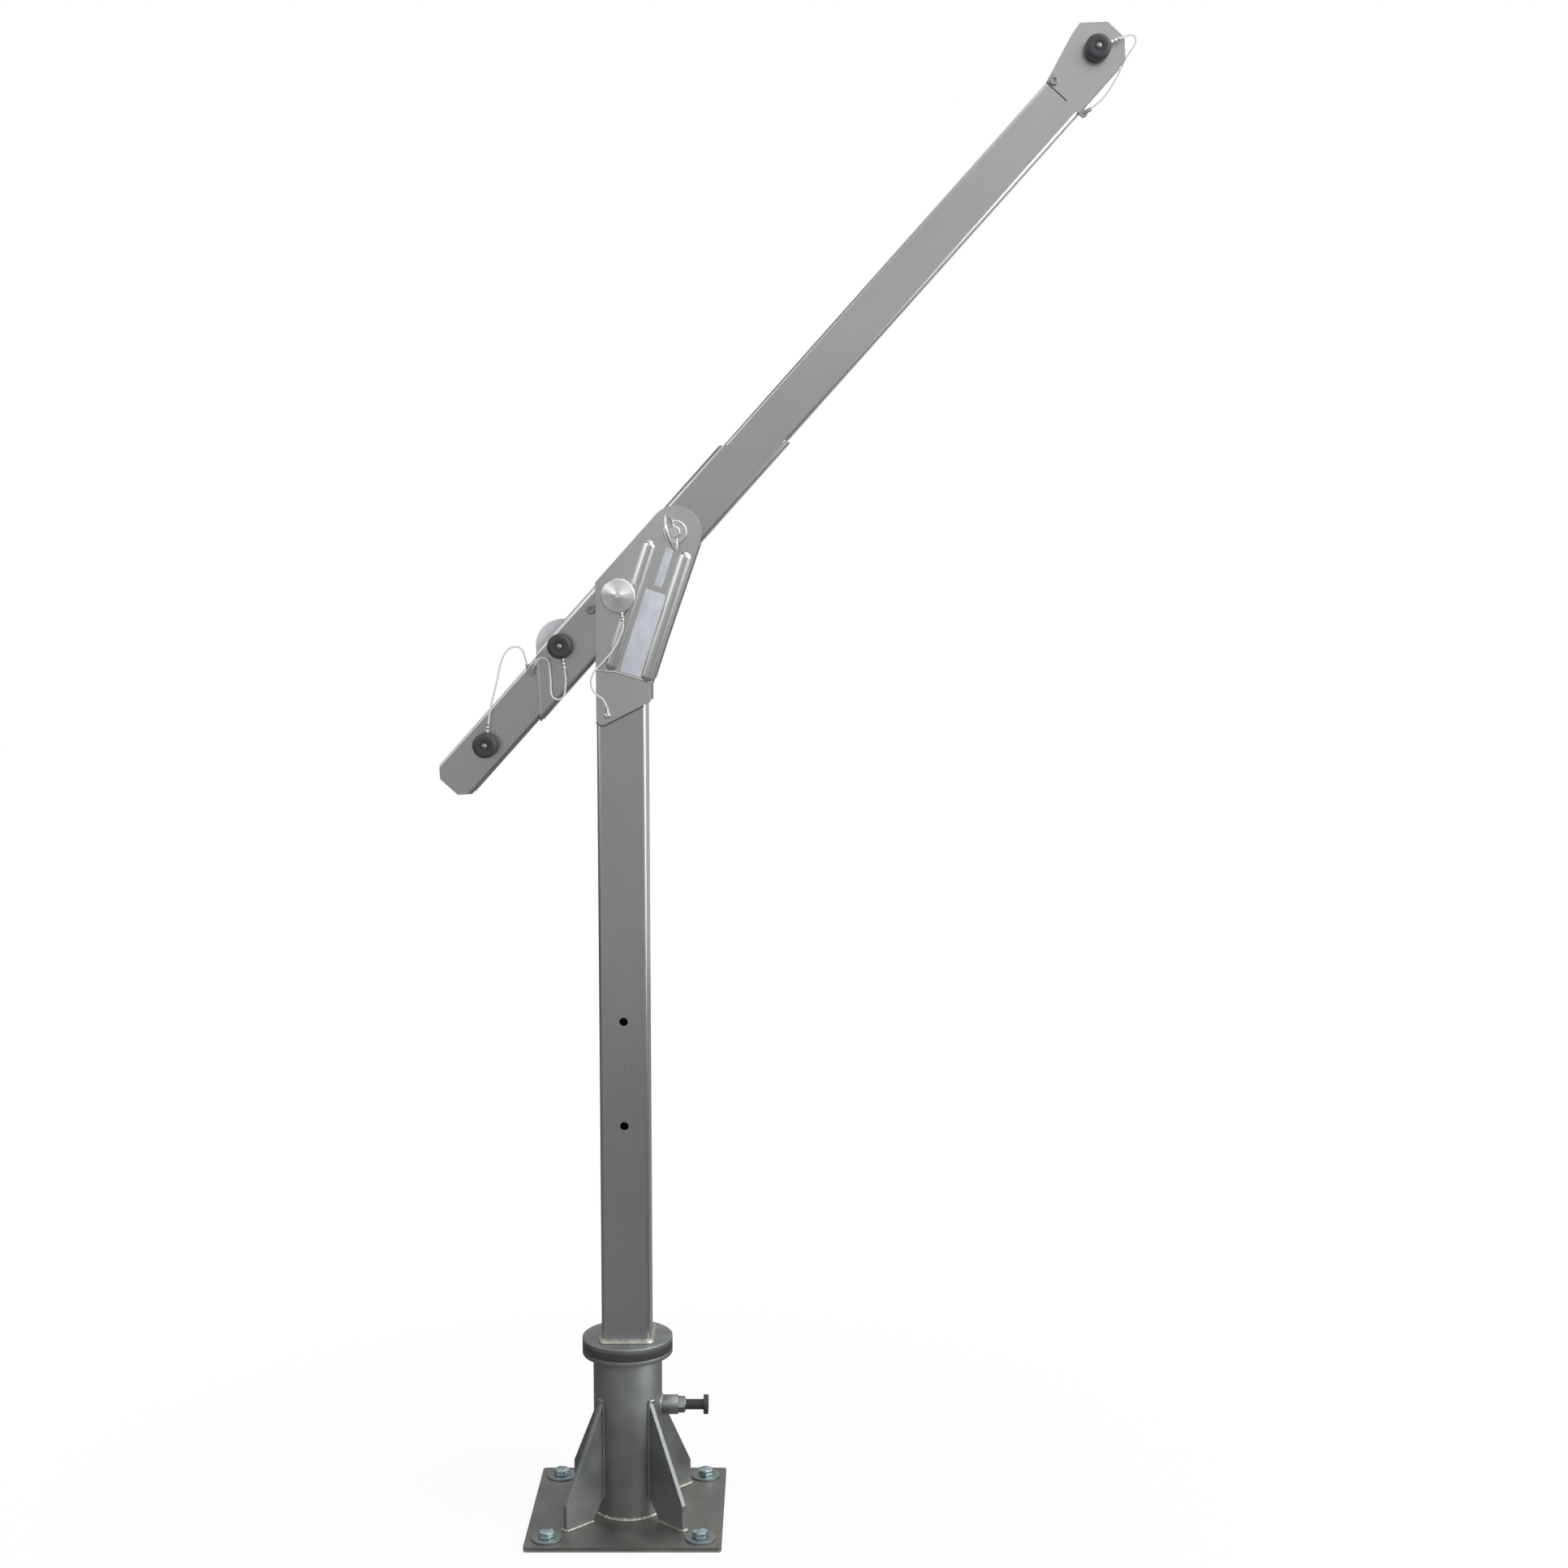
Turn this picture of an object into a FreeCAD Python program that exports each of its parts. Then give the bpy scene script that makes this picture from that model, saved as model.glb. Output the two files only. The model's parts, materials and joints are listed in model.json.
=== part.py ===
import FreeCAD, Part
import math
import os

# Folding davit crane on a bolted swivel base, in millimetres and degrees.
# The origin is on the swivel axis at the underside of the base plate, +Z is up and the boom leans to +X.

# Fits shared by all pieces
RUNNING_GAP = 0.05
SEAT_GAP = 0.02
SIDE_GAP = 0.3

# Base plate and its anchor holes
PLATE_WIDTH = 320.0
PLATE_THICKNESS = 8.0
PLATE_CORNER = 6.0
ANCHOR_EDGE = 35.0
ANCHOR_HOLE = 18.0

# Socket that carries the mast
SOCKET_DIAMETER = 114.3
SOCKET_WALL = 5.0
SOCKET_HEIGHT = 268.0
FLANGE_DIAMETER = 150.0
FLANGE_CHAMFER = 1.0
FLANGE_THICKNESS = 8.0
FLANGE_BORE = 102.0
BEARING_THICKNESS = 13.0
LOWER_BUSH_LIFT = 40.0
LOWER_BUSH_HEIGHT = 30.0

# Gussets on the plate's diagonals
GUSSET_COUNT = 4
GUSSET_THICKNESS = 8.0
GUSSET_REACH = 138.0
GUSSET_HEIGHT = 197.0
GUSSET_TOE = 42.0
GUSSET_RELIEF_OUT = 25.0
GUSSET_RELIEF_UP = 35.0

# Sprung plunger that keeps the mast in the socket
PLUNGER_HEIGHT = 185.0
PLUNGER_BOSS_DIAMETER = 32.0
PLUNGER_BOSS_LENGTH = 27.0
PLUNGER_BODY_DIAMETER = 22.0
PLUNGER_HEX_FLATS = 24.0
PLUNGER_HEX_LENGTH = 11.0
PLUNGER_RING_DIAMETER = 20.0
PLUNGER_RING_LENGTH = 2.0
PLUNGER_NOSE_DIAMETER = 12.0
PLUNGER_STEM_DIAMETER = 8.0
PLUNGER_COLLAR_LENGTH = 3.0
PLUNGER_END_WALL = 4.0
PLUNGER_GRIP_DIAMETER = 17.0
PLUNGER_GRIP_LENGTH = 29.0
PLUNGER_DISC_DIAMETER = 32.0
PLUNGER_DISC_THICKNESS = 8.0
PLUNGER_DISC_ROUND = 1.5
SPRING_CHAMBER = 18.0
SPRING_WIRE = 1.6
SPRING_TURNS = 5

# Mast with its spigot
SPIGOT_DIAMETER = 88.9
SPIGOT_WALL = 5.0
SPIGOT_TAIL = 27.0
COLLAR_DIAMETER = 100.0
COLLAR_HEIGHT = 10.0
COLLAR_DROP = 0.5
MAST_WIDTH = 80.0
MAST_WALL = 4.0
MAST_CORNER = 6.0
MAST_HEIGHT = 1110.0
MAST_CAP = 4.0
WINCH_HOLE = 14.0
WINCH_HOLE_LIFT = 365.0
WINCH_HOLE_SPACING = 173.0

# Head cheeks that carry the boom
PIVOT_OFFSET = 88.0
PIVOT_RISE = 220.0
CHEEK_THICKNESS = 5.0
CHEEK_NOSE_RADIUS = 42.0
CHEEK_HEEL_LAP = 94.0
CHEEK_TOE_LAP = 50.0
CHEEK_SHOULDER_LAP = 26.0
CHEEK_OVERHANG = 7.0
CHEEK_HEEL_ROUND = 10.0
BEAD_TILT = 18.0
BEAD_SPACING = 60.0
BEAD_SHIFT = -3.0
BEAD_START = 34.0
BEAD_LENGTH = 198.0
BEAD_RADIUS = 12.0
BEAD_SINK = 7.5
BEAD_WALL = 4.0

# Pivot pin with its pull ring
PIVOT_DIAMETER = 30.0
PIVOT_BUSH_DIAMETER = 40.0
PIVOT_WASHER_DIAMETER = 60.0
PIVOT_HEAD_DIAMETER = 38.0
PIVOT_CHAMFER = 1.0
PIVOT_HEAD_THICKNESS = 6.0
PIVOT_STUB_DIAMETER = 18.0
PIVOT_STUB_LENGTH = 15.0
CIRCLIP_THICKNESS = 2.0
CIRCLIP_DEPTH = 1.5
CIRCLIP_WIDTH = 4.0
CIRCLIP_GAP_ANGLE = 40.0
PIVOT_END = 6.0
RING_DIAMETER = 62.0
RING_WIRE = 5.0
RING_TILT = 15.0
RING_SWING = -10.0
RING_HOLE = 7.6

# Lock pin, drawn just clear of the boom
LOCK_BACK = 135.0
LOCK_DIAMETER = 16.0
LOCK_BUSH_DIAMETER = 22.0
LOCK_BUSH_PROUD = 5.0
LOCK_TRAVEL = 9.0
LOCK_NOSE_GAP = 0.8
LOCK_HEAD_DIAMETER = 54.0
LOCK_HEAD_RIM = 8.0
LOCK_HEAD_CONE = 4.0
LOCK_HEAD_FLAT = 10.0
LOCK_CHAMFER = 1.5
LOCK_CENTRE_MARK = 3.0

# Boom: square cut tube in a reinforcing sleeve, measured along the boom from the pivot
BOOM_ANGLE = 48.0
BOOM_HEIGHT = 70.0
BOOM_WIDTH = 60.0
BOOM_WALL = 3.0
BOOM_CORNER = 5.0
BOOM_TAIL = 550.0
BOOM_FRONT = 910.0
TAIL_CHAMFER = 16.0
SLEEVE_WALL = 5.0
SLEEVE_CORNER = 7.0
SLEEVE_BACK = 292.0
SLEEVE_FRONT = 148.0
ROPE_SLOT_WIDTH = 34.0
ROPE_SLOT_END = 345.0

# Boom tip fork
TIP_PLATE = 5.0
TIP_LENGTH = 133.0
TIP_SLIT = 2.0
TIP_SLIT_BOTTOM = -8.0
TIP_SHOULDER_BACK = 50.0
TIP_SHOULDER_RISE = 55.0
TIP_CREST_BACK = 30.0
TIP_CREST_RISE = 57.0
TIP_NOSE_TOP = 26.0
TIP_NOSE_BOTTOM = -10.0
TIP_CHIN_BACK = 25.0

# Sheaves and the tail roller, placed along and above the boom's centre line
TIP_PIN_ALONG = 1000.0
TIP_PIN_RISE = 10.0
TIP_SHEAVE_DIAMETER = 78.0
SHEAVE_PIN_BACK = 258.0
SHEAVE_PIN_RISE = 16.0
TAIL_SHEAVE_DIAMETER = 86.0
SHEAVE_RIM_WIDTH = 18.0
SHEAVE_HUB_DIAMETER = 32.0
SHEAVE_HUB_LENGTH = 24.0
SHEAVE_WEB = 8.0
SHEAVE_RIM_DEPTH = 18.0
GROOVE_WIDTH = 14.0
GROOVE_DEPTH = 7.5
SHEAVE_BUSH_DIAMETER = 18.0
SPACER_DIAMETER = 24.0
SHEAVE_SLOT_MARGIN = 6.0
TAIL_PIN_FROM_END = 92.0
TAIL_PIN_RISE = 0.0
ROLLER_DIAMETER = 50.0
ROLLER_WAIST = 36.0

# Quick-release pins with moulded knobs
PIN_DIAMETER = 12.0
PIN_OVERRUN = 10.0
PIN_GRIP = 14.0
PIN_CHAMFER = 1.5
KNOB_DIAMETER = 40.0
KNOB_LENGTH = 28.0
KNOB_ROUND = 5.0
KNOB_BACK_CHAMFER = 3.0
KNOB_DISH_DIAMETER = 17.0
KNOB_DISH_DEPTH = 1.4
BUTTON_DIAMETER = 8.0
BUTTON_LENGTH = 10.0
BUTTON_PROUD = 3.0
BUTTON_TRAVEL = 2.5
BUTTON_ROUND = 1.5

# Rope keepers
KEEPER_DIAMETER = 10.0
KEEPER_HEAD_DIAMETER = 16.0
KEEPER_HEAD_THICKNESS = 4.0
KEEPER_HEAD_ROUND = 1.5
KEEPER_SOCKET_FLATS = 6.0
KEEPER_SOCKET_DEPTH = 2.5
TIP_KEEPER_BACK = 122.0
TIP_KEEPER_RISE = 28.0
SLEEVE_KEEPER_BACK = 182.0
SLEEVE_KEEPER_RISE = 19.0

# Lanyards of coated wire rope, with crimped ferrules and eyes
LANYARD_DIAMETER = 3.0
LANYARD_GAP = 0.3
FERRULE_DIAMETER = 6.0
FERRULE_LENGTH = 18.0
FERRULE_WAIST = 5.0
FERRULE_BAND = 3.0
LOCK_FERRULE_LENGTH = 14.0
CRIMP_LENGTH = 8.0
EYE_DIAMETER = 12.0
EYE_CRIMP_LIFT = 8.0
LOCK_EYE_DIAMETER = 10.0
LUG_THICKNESS = 4.0
LUG_DROP = 6.0
FERRULE_LIFT = 14.0

# Each lanyard's ends: the ferrule's angle round its knob, the straight lead out of it, the eye's place and the
# crimp's angle round it
TIP_FERRULE_ANGLE = -26.0
TIP_LEAD = 10.0
TIP_EYE_AHEAD = 5.0
TIP_CRIMP_ANGLE = -15.0
TAIL_FERRULE_ANGLE = 34.0
TAIL_LEAD = 20.0
TAIL_EYE_BEHIND_SLEEVE = 30.0
TAIL_EYE_RISE = 24.0
TAIL_CRIMP_ANGLE = 66.0
SHEAVE_FERRULE_ANGLE = -128.0
SHEAVE_LEAD = 14.0
SHEAVE_CRIMP_ANGLE = 10.0
LOCK_FERRULE_ANGLE = -80.0
LOCK_LEAD = 10.0
LOCK_EYE_FROM_MAST_TOP = (-22.0, -72.0)
LOCK_CRIMP_ANGLE = 90.0

# Lanyard routes between lead and crimp, chosen by hand: along and above the boom from the pivot, and across.
TIP_ROUTE = [
    (1050.5, -16.0, -44.0),
    (1051.0, -24.5, -43.2),
    (1044.5, -30.0, -42.2),
    (1033.0, -31.2, -40.6),
    (1015.0, -34.5, -38.0),
    (989.5, -43.0, -35.0),
    (962.0, -48.0, -31.5),
    (941.0, -47.9, -28.5),
]
TAIL_ROUTE = [
    (-390.0, 42.3, -45.0),
    (-367.0, 54.2, -45.0),
    (-341.0, 70.0, -44.5),
    (-322.0, 75.5, -43.5),
    (-310.5, 72.5, -42.0),
    (-303.5, 65.0, -40.5),
    (-303.2, 55.0, -39.0),
]
SHEAVE_ROUTE = [
    (-301.9, -34.3, -50.0),
    (-311.6, -41.4, -50.0),
    (-319.6, -41.4, -49.5),
    (-325.7, -36.3, -49.0),
    (-327.1, -28.4, -48.0),
    (-323.1, -21.4, -47.0),
    (-311.9, -11.4, -45.5),
    (-302.2, -1.3, -44.0),
    (-296.2, 5.3, -43.0),
    (-288.8, 12.6, -42.0),
    (-287.8, 19.4, -41.0),
    (-291.0, 25.4, -40.0),
    (-297.2, 28.4, -39.0),
    (-302.6, 27.7, -38.5),
]
# The lock pin's lanyard is given along X and Z from the mast's top centre, and across.
LOCK_ROUTE = [
    (0.5, 55.0, -64.8),
    (-6.5, 40.0, -63.6),
    (-15.5, 27.5, -62.3),
    (-26.5, 15.0, -61.0),
    (-38.0, 4.0, -59.5),
    (-46.0, -9.0, -58.5),
    (-47.5, -22.5, -57.5),
    (-42.5, -34.5, -56.5),
    (-33.0, -41.5, -55.5),
    (-25.5, -47.5, -54.0),
]

V = FreeCAD.Vector
ACROSS = V(0, 1, 0)
UP = V(0, 0, 1)
ALONG = V(1, 0, 0)

# Levels and places worked out from the sizes above
socket_radius = SOCKET_DIAMETER / 2
socket_bore = socket_radius - SOCKET_WALL
socket_top = PLATE_THICKNESS + SOCKET_HEIGHT
flange_top = socket_top + FLANGE_THICKNESS
bearing_top = flange_top + BEARING_THICKNESS
mast_foot = bearing_top + FLANGE_THICKNESS
mast_top = mast_foot + MAST_HEIGHT
mast_half = MAST_WIDTH / 2
spigot_radius = SPIGOT_DIAMETER / 2
pivot = V(PIVOT_OFFSET, 0, mast_top + PIVOT_RISE)
cheek_outer = mast_half + CHEEK_THICKNESS
sleeve_half = BOOM_WIDTH / 2 + SLEEVE_WALL
boom_half = BOOM_WIDTH / 2
boom_inner_half = boom_half - BOOM_WALL
tip_inner_half = boom_half - TIP_PLATE
tip_end = BOOM_FRONT + TIP_LENGTH
pin_radius = PIN_DIAMETER / 2
pin_bore = pin_radius + RUNNING_GAP
tail_pin_back = BOOM_TAIL - TAIL_PIN_FROM_END
boom_place = FreeCAD.Placement(pivot, FreeCAD.Rotation(ACROSS, -BOOM_ANGLE))


def rod(radius, start, end):
    """Round bar between two points."""
    span = end - start
    return Part.makeCylinder(radius, span.Length, start, span)


def ring(outer, inner, start, end):
    """Round tube between two points."""
    return rod(outer, start, end).cut(rod(inner, start, end))


def across(radius, along, rise, start, end):
    """Round bar along Y at a place in the XZ plane."""
    return rod(radius, V(along, start, rise), V(along, end, rise))


def collar(outer, inner, along, rise, start, end):
    """Round tube along Y at a place in the XZ plane."""
    return ring(outer, inner, V(along, start, rise), V(along, end, rise))


def block(low, high):
    """Box between two corners."""
    return Part.makeBox(high.x - low.x, high.y - low.y, high.z - low.z, low)


def rounded_block(low, high, corner, axis):
    """Box between two corners, with its edges along one axis rounded."""
    box = block(low, high)
    edges = [edge for edge in box.Edges if abs(edge.tangentAt(edge.FirstParameter).dot(axis)) > 0.99]
    return box.makeFillet(corner, edges)


def slab(outline, start, end):
    """Flat plate with an outline of (x, z) points, from one Y to another."""
    points = [V(x, start, z) for x, z in outline]
    face = Part.Face(Part.makePolygon(points + points[:1]))
    return face.extrude(V(0, end - start, 0))


def rims(shape, axis, level):
    """Round edges of a turned shape at one level along its axis."""
    return [edge for edge in shape.Edges if edge.Closed and abs(edge.CenterOfMass.dot(axis) - level) < SEAT_GAP]


def polar(centre, radius, angle):
    """Point in the XZ plane at a radius and an angle from a centre (x, z)."""
    turn = math.radians(angle)
    return (centre[0] + radius * math.cos(turn), centre[1] + radius * math.sin(turn))


def hexagon(centre, flats):
    """Six corners round a centre, for a width across the flats."""
    return [polar(centre, flats / math.sqrt(3), 60 * side) for side in range(6)]


def fused(first, *others):
    """One solid from pieces that join."""
    return first.fuse(list(others)).removeSplitter()


def on_boom(shape):
    """Shape drawn along the boom from the pivot, put in its place."""
    placed = shape.copy()
    placed.Placement = boom_place.multiply(placed.Placement)
    return placed


def save(node, *shapes):
    """Write one node's solids to its own file."""
    shape = shapes[0] if len(shapes) == 1 else Part.makeCompound(list(shapes))
    if not shape.isValid():
        raise ValueError(node + " is not a valid solid")
    shape.exportStep("parts/" + node + ".step")


def base_plate():
    half = PLATE_WIDTH / 2
    plate = rounded_block(V(-half, -half, 0), V(half, half, PLATE_THICKNESS), PLATE_CORNER, UP)
    place = half - ANCHOR_EDGE
    for x in (-place, place):
        for y in (-place, place):
            plate = plate.cut(rod(ANCHOR_HOLE / 2, V(x, y, 0), V(x, y, PLATE_THICKNESS)))
    save("base_plate", plate)


def socket():
    tube = ring(socket_radius, socket_bore, V(0, 0, PLATE_THICKNESS), V(0, 0, socket_top))
    nose_hole = PLUNGER_NOSE_DIAMETER / 2 + RUNNING_GAP
    tube = tube.cut(rod(nose_hole, V(0, 0, PLUNGER_HEIGHT), V(SOCKET_DIAMETER, 0, PLUNGER_HEIGHT)))
    save("socket_tube", tube)
    flange_bore = FLANGE_BORE / 2
    flange = rod(FLANGE_DIAMETER / 2, V(0, 0, socket_top), V(0, 0, flange_top))
    flange = flange.makeChamfer(FLANGE_CHAMFER, rims(flange, UP, socket_top))
    save("socket_flange", flange.cut(rod(flange_bore, V(0, 0, socket_top), V(0, 0, flange_top))))
    disc = rod(FLANGE_DIAMETER / 2, V(0, 0, flange_top), V(0, 0, bearing_top - RUNNING_GAP))
    sleeve = rod(flange_bore - SEAT_GAP, V(0, 0, socket_top), V(0, 0, flange_top))
    bore = rod(spigot_radius + RUNNING_GAP, V(0, 0, socket_top), V(0, 0, bearing_top))
    save("bearing_ring", fused(disc, sleeve).cut(bore))
    bush_foot = PLATE_THICKNESS + LOWER_BUSH_LIFT
    bush_top = bush_foot + LOWER_BUSH_HEIGHT
    bush = ring(socket_bore - SEAT_GAP, spigot_radius + RUNNING_GAP, V(0, 0, bush_foot), V(0, 0, bush_top))
    save("lower_bush", bush)


def gussets():
    inner = socket_radius + SEAT_GAP
    outline = [
        (inner, PLATE_THICKNESS + GUSSET_RELIEF_UP),
        (inner + GUSSET_RELIEF_OUT, PLATE_THICKNESS),
        (GUSSET_REACH, PLATE_THICKNESS),
        (GUSSET_REACH, PLATE_THICKNESS + GUSSET_TOE),
        (inner, PLATE_THICKNESS + GUSSET_HEIGHT),
    ]
    plates = []
    for index in range(GUSSET_COUNT):
        plate = slab(outline, -GUSSET_THICKNESS / 2, GUSSET_THICKNESS / 2)
        plate.rotate(V(0, 0, 0), UP, (index + 0.5) * 360.0 / GUSSET_COUNT)
        plates.append(plate)
    save("gussets", *plates)


def helix(start, length, mean_radius, wire, turns):
    """Coil spring along X made of half-turn arcs, one unbroken wire."""
    halves = 2 * turns
    step = length / halves

    def point(half_turns):
        angle = math.pi * half_turns
        return start + V(step * half_turns, mean_radius * math.cos(angle), mean_radius * math.sin(angle))

    arcs = []
    for half in range(2 * halves):
        first, middle, last = point(half / 2), point(half / 2 + 0.25), point(half / 2 + 0.5)
        arcs.append(Part.Arc(first, middle, last).toShape())
    path = Part.Wire(arcs)
    tangent = arcs[0].tangentAt(arcs[0].FirstParameter)
    section = Part.Wire(Part.makeCircle(wire / 2, point(0), tangent))
    return path.makePipeShell([section], True, False)


def plunger():
    z = PLUNGER_HEIGHT
    boss_end = socket_radius + PLUNGER_BOSS_LENGTH
    hex_end = boss_end + PLUNGER_HEX_LENGTH
    ring_end = hex_end + PLUNGER_RING_LENGTH
    body = PLUNGER_BODY_DIAMETER / 2
    nose = PLUNGER_NOSE_DIAMETER / 2
    stem = PLUNGER_STEM_DIAMETER / 2
    chamber = SPRING_CHAMBER / 2
    body_start = socket_radius + 2 * SIDE_GAP
    chamber_start = body_start + PLUNGER_NOSE_DIAMETER / 2
    chamber_end = hex_end - PLUNGER_END_WALL

    def at(x):
        return V(x, 0, z)

    boss = ring(PLUNGER_BOSS_DIAMETER / 2, body + SEAT_GAP, at(0), at(boss_end))
    boss = boss.cut(rod(socket_radius + SEAT_GAP, V(0, 0, 0), V(0, 0, socket_top)))
    save("plunger_boss", boss)

    corners = hexagon((0, z), PLUNGER_HEX_FLATS)
    hex_face = Part.Face(Part.makePolygon([V(boss_end, y, h) for y, h in corners + corners[:1]]))
    housing = fused(
        rod(body, at(body_start), at(boss_end)),
        hex_face.extrude(V(PLUNGER_HEX_LENGTH, 0, 0)),
        rod(PLUNGER_RING_DIAMETER / 2, at(hex_end), at(ring_end)),
    )
    housing = housing.cut(rod(nose + RUNNING_GAP, at(body_start), at(chamber_start)))
    housing = housing.cut(rod(chamber, at(chamber_start), at(chamber_end)))
    housing = housing.cut(rod(stem + RUNNING_GAP, at(chamber_end), at(ring_end)))
    save("plunger_housing", housing)

    collar_start = chamber_start + SIDE_GAP
    collar_end = collar_start + PLUNGER_COLLAR_LENGTH
    grip_start = ring_end + SIDE_GAP
    grip_end = grip_start + PLUNGER_GRIP_LENGTH
    pin = fused(
        rod(nose, at(spigot_radius + SIDE_GAP), at(collar_start)),
        rod(chamber - RUNNING_GAP, at(collar_start), at(collar_end)),
        rod(stem, at(collar_end), at(grip_end)),
    )
    save("plunger_pin", pin)
    disc_end = grip_end + PLUNGER_DISC_THICKNESS
    disc = rod(PLUNGER_DISC_DIAMETER / 2, at(grip_end), at(disc_end))
    disc = disc.makeFillet(PLUNGER_DISC_ROUND, rims(disc, ALONG, grip_end) + rims(disc, ALONG, disc_end))
    grip = fused(rod(PLUNGER_GRIP_DIAMETER / 2, at(grip_start), at(grip_end)), disc)
    save("plunger_knob", grip.cut(rod(stem + SEAT_GAP, at(grip_start), at(grip_end))))

    spring_gap = SIDE_GAP + SPRING_WIRE / 2
    spring_start = at(collar_end + spring_gap)
    spring_length = chamber_end - collar_end - 2 * spring_gap
    mean_radius = chamber - SIDE_GAP - SPRING_WIRE / 2
    spring = helix(spring_start, spring_length, mean_radius, SPRING_WIRE, SPRING_TURNS)
    turn_gap = spring_length / SPRING_TURNS - SPRING_WIRE
    print("plunger_spring gap between turns %.2f mm" % turn_gap)
    save("plunger_spring", spring)


def mast():
    spigot_foot = PLATE_THICKNESS + SPIGOT_TAIL
    spigot_wall = spigot_radius - SPIGOT_WALL
    save("mast_spigot", ring(spigot_radius, spigot_wall, V(0, 0, spigot_foot), V(0, 0, bearing_top)))
    keeper_top = PLUNGER_HEIGHT - PLUNGER_NOSE_DIAMETER / 2 - COLLAR_DROP
    keeper = ring(COLLAR_DIAMETER / 2, spigot_radius + SEAT_GAP, V(0, 0, keeper_top - COLLAR_HEIGHT),
                  V(0, 0, keeper_top))
    save("spigot_collar", keeper)
    flange = rod(FLANGE_DIAMETER / 2, V(0, 0, bearing_top), V(0, 0, mast_foot))
    save("mast_flange", flange.makeChamfer(FLANGE_CHAMFER, rims(flange, UP, mast_foot)))
    tube = rounded_block(V(-mast_half, -mast_half, mast_foot), V(mast_half, mast_half, mast_top), MAST_CORNER, UP)
    inner = mast_half - MAST_WALL
    bore = rounded_block(V(-inner, -inner, mast_foot), V(inner, inner, mast_top), MAST_CORNER - MAST_WALL, UP)
    tube = tube.cut(bore)
    for lift in (WINCH_HOLE_LIFT, WINCH_HOLE_LIFT + WINCH_HOLE_SPACING):
        tube = tube.cut(across(WINCH_HOLE / 2, 0, mast_foot + lift, -mast_half, mast_half))
    save("mast_tube", tube)
    cap = rounded_block(V(-mast_half, -mast_half, mast_top), V(mast_half, mast_half, mast_top + MAST_CAP),
                        MAST_CORNER, UP)
    save("mast_cap", cap)


def cheek_outline():
    """Wire of one head cheek in the XZ plane: round nose, straight back edge and rounded heel."""
    centre = (pivot.x, pivot.z)
    back_top = polar(centre, CHEEK_NOSE_RADIUS, 90 + BOOM_ANGLE)
    back_run = (back_top[0] + mast_half) / math.cos(math.radians(BOOM_ANGLE))
    back_low = polar(back_top, back_run, 180 + BOOM_ANGLE)
    heel = (-mast_half, mast_top - CHEEK_HEEL_LAP)
    toe = (mast_half + CHEEK_OVERHANG, mast_top - CHEEK_TOE_LAP)
    shoulder = (toe[0], mast_top - CHEEK_SHOULDER_LAP)
    reach = math.hypot(centre[0] - shoulder[0], centre[1] - shoulder[1])
    lean = math.degrees(math.atan2(centre[1] - shoulder[1], centre[0] - shoulder[0]))
    front_angle = lean - math.degrees(math.asin(CHEEK_NOSE_RADIUS / reach))
    front_top = polar(centre, CHEEK_NOSE_RADIUS, front_angle - 90)
    nose = polar(centre, CHEEK_NOSE_RADIUS, (front_angle + BOOM_ANGLE) / 2)

    sole_angle = math.degrees(math.atan2(toe[1] - heel[1], toe[0] - heel[0]))
    heel_half_turn = math.radians((90 + sole_angle) / 2)
    heel_leg = CHEEK_HEEL_ROUND * math.tan(heel_half_turn)
    heel_top = (heel[0], heel[1] + heel_leg)
    heel_front = polar(heel, heel_leg, sole_angle)
    heel_centre = (heel[0] + CHEEK_HEEL_ROUND, heel_top[1])
    heel_middle = polar(heel_centre, CHEEK_HEEL_ROUND, 180 + math.degrees(heel_half_turn))

    def flat(point):
        return V(point[0], 0, point[1])

    def line(first, last):
        return Part.LineSegment(flat(first), flat(last)).toShape()

    return Part.Wire([
        Part.Arc(flat(front_top), flat(nose), flat(back_top)).toShape(),
        line(back_top, back_low),
        line(back_low, heel_top),
        Part.Arc(flat(heel_top), flat(heel_middle), flat(heel_front)).toShape(),
        line(heel_front, toe),
        line(toe, shoulder),
        line(shoulder, front_top),
    ])


def capsule(radius, start, end):
    """Round bar with ball ends."""
    return fused(rod(radius, start, end), Part.makeSphere(radius, start), Part.makeSphere(radius, end))


def cheek(side, lock_hole):
    """Head cheek on one side of the mast, with two pressed beads that stand outwards."""
    plate = Part.Face(cheek_outline()).extrude(V(0, CHEEK_THICKNESS, 0))
    plate.translate(V(0, mast_half, 0))
    tilt = math.radians(BEAD_TILT)
    upwards = V(math.sin(tilt), 0, math.cos(tilt))
    sideways = V(math.cos(tilt), 0, -math.sin(tilt))
    depth = V(0, cheek_outer - BEAD_SINK, 0)
    for shift in (BEAD_SHIFT - BEAD_SPACING / 2, BEAD_SHIFT + BEAD_SPACING / 2):
        top = pivot + sideways * shift - upwards * BEAD_START + depth
        bottom = top - upwards * BEAD_LENGTH
        bead = capsule(BEAD_RADIUS, top, bottom)
        span = bead.BoundBox
        inward = block(V(span.XMin, span.YMin, span.ZMin), V(span.XMax, mast_half, span.ZMax))
        plate = fused(plate, bead.cut(inward)).cut(capsule(BEAD_RADIUS - BEAD_WALL, top, bottom))
    plate = plate.cut(across(PIVOT_DIAMETER / 2 + SEAT_GAP, pivot.x, pivot.z, 0, cheek_outer))
    if lock_hole:
        lock = lock_place()
        plate = plate.cut(across(LOCK_BUSH_DIAMETER / 2 + SEAT_GAP, lock.x, lock.z, 0, cheek_outer))
    if side < 0:
        plate = plate.mirror(V(0, 0, 0), ACROSS)
    return plate


def lock_place():
    """Point of the lock pin's axis at rest: on the boom's centre line, behind the pivot."""
    return boom_place.multVec(V(-LOCK_BACK, 0, 0))


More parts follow.
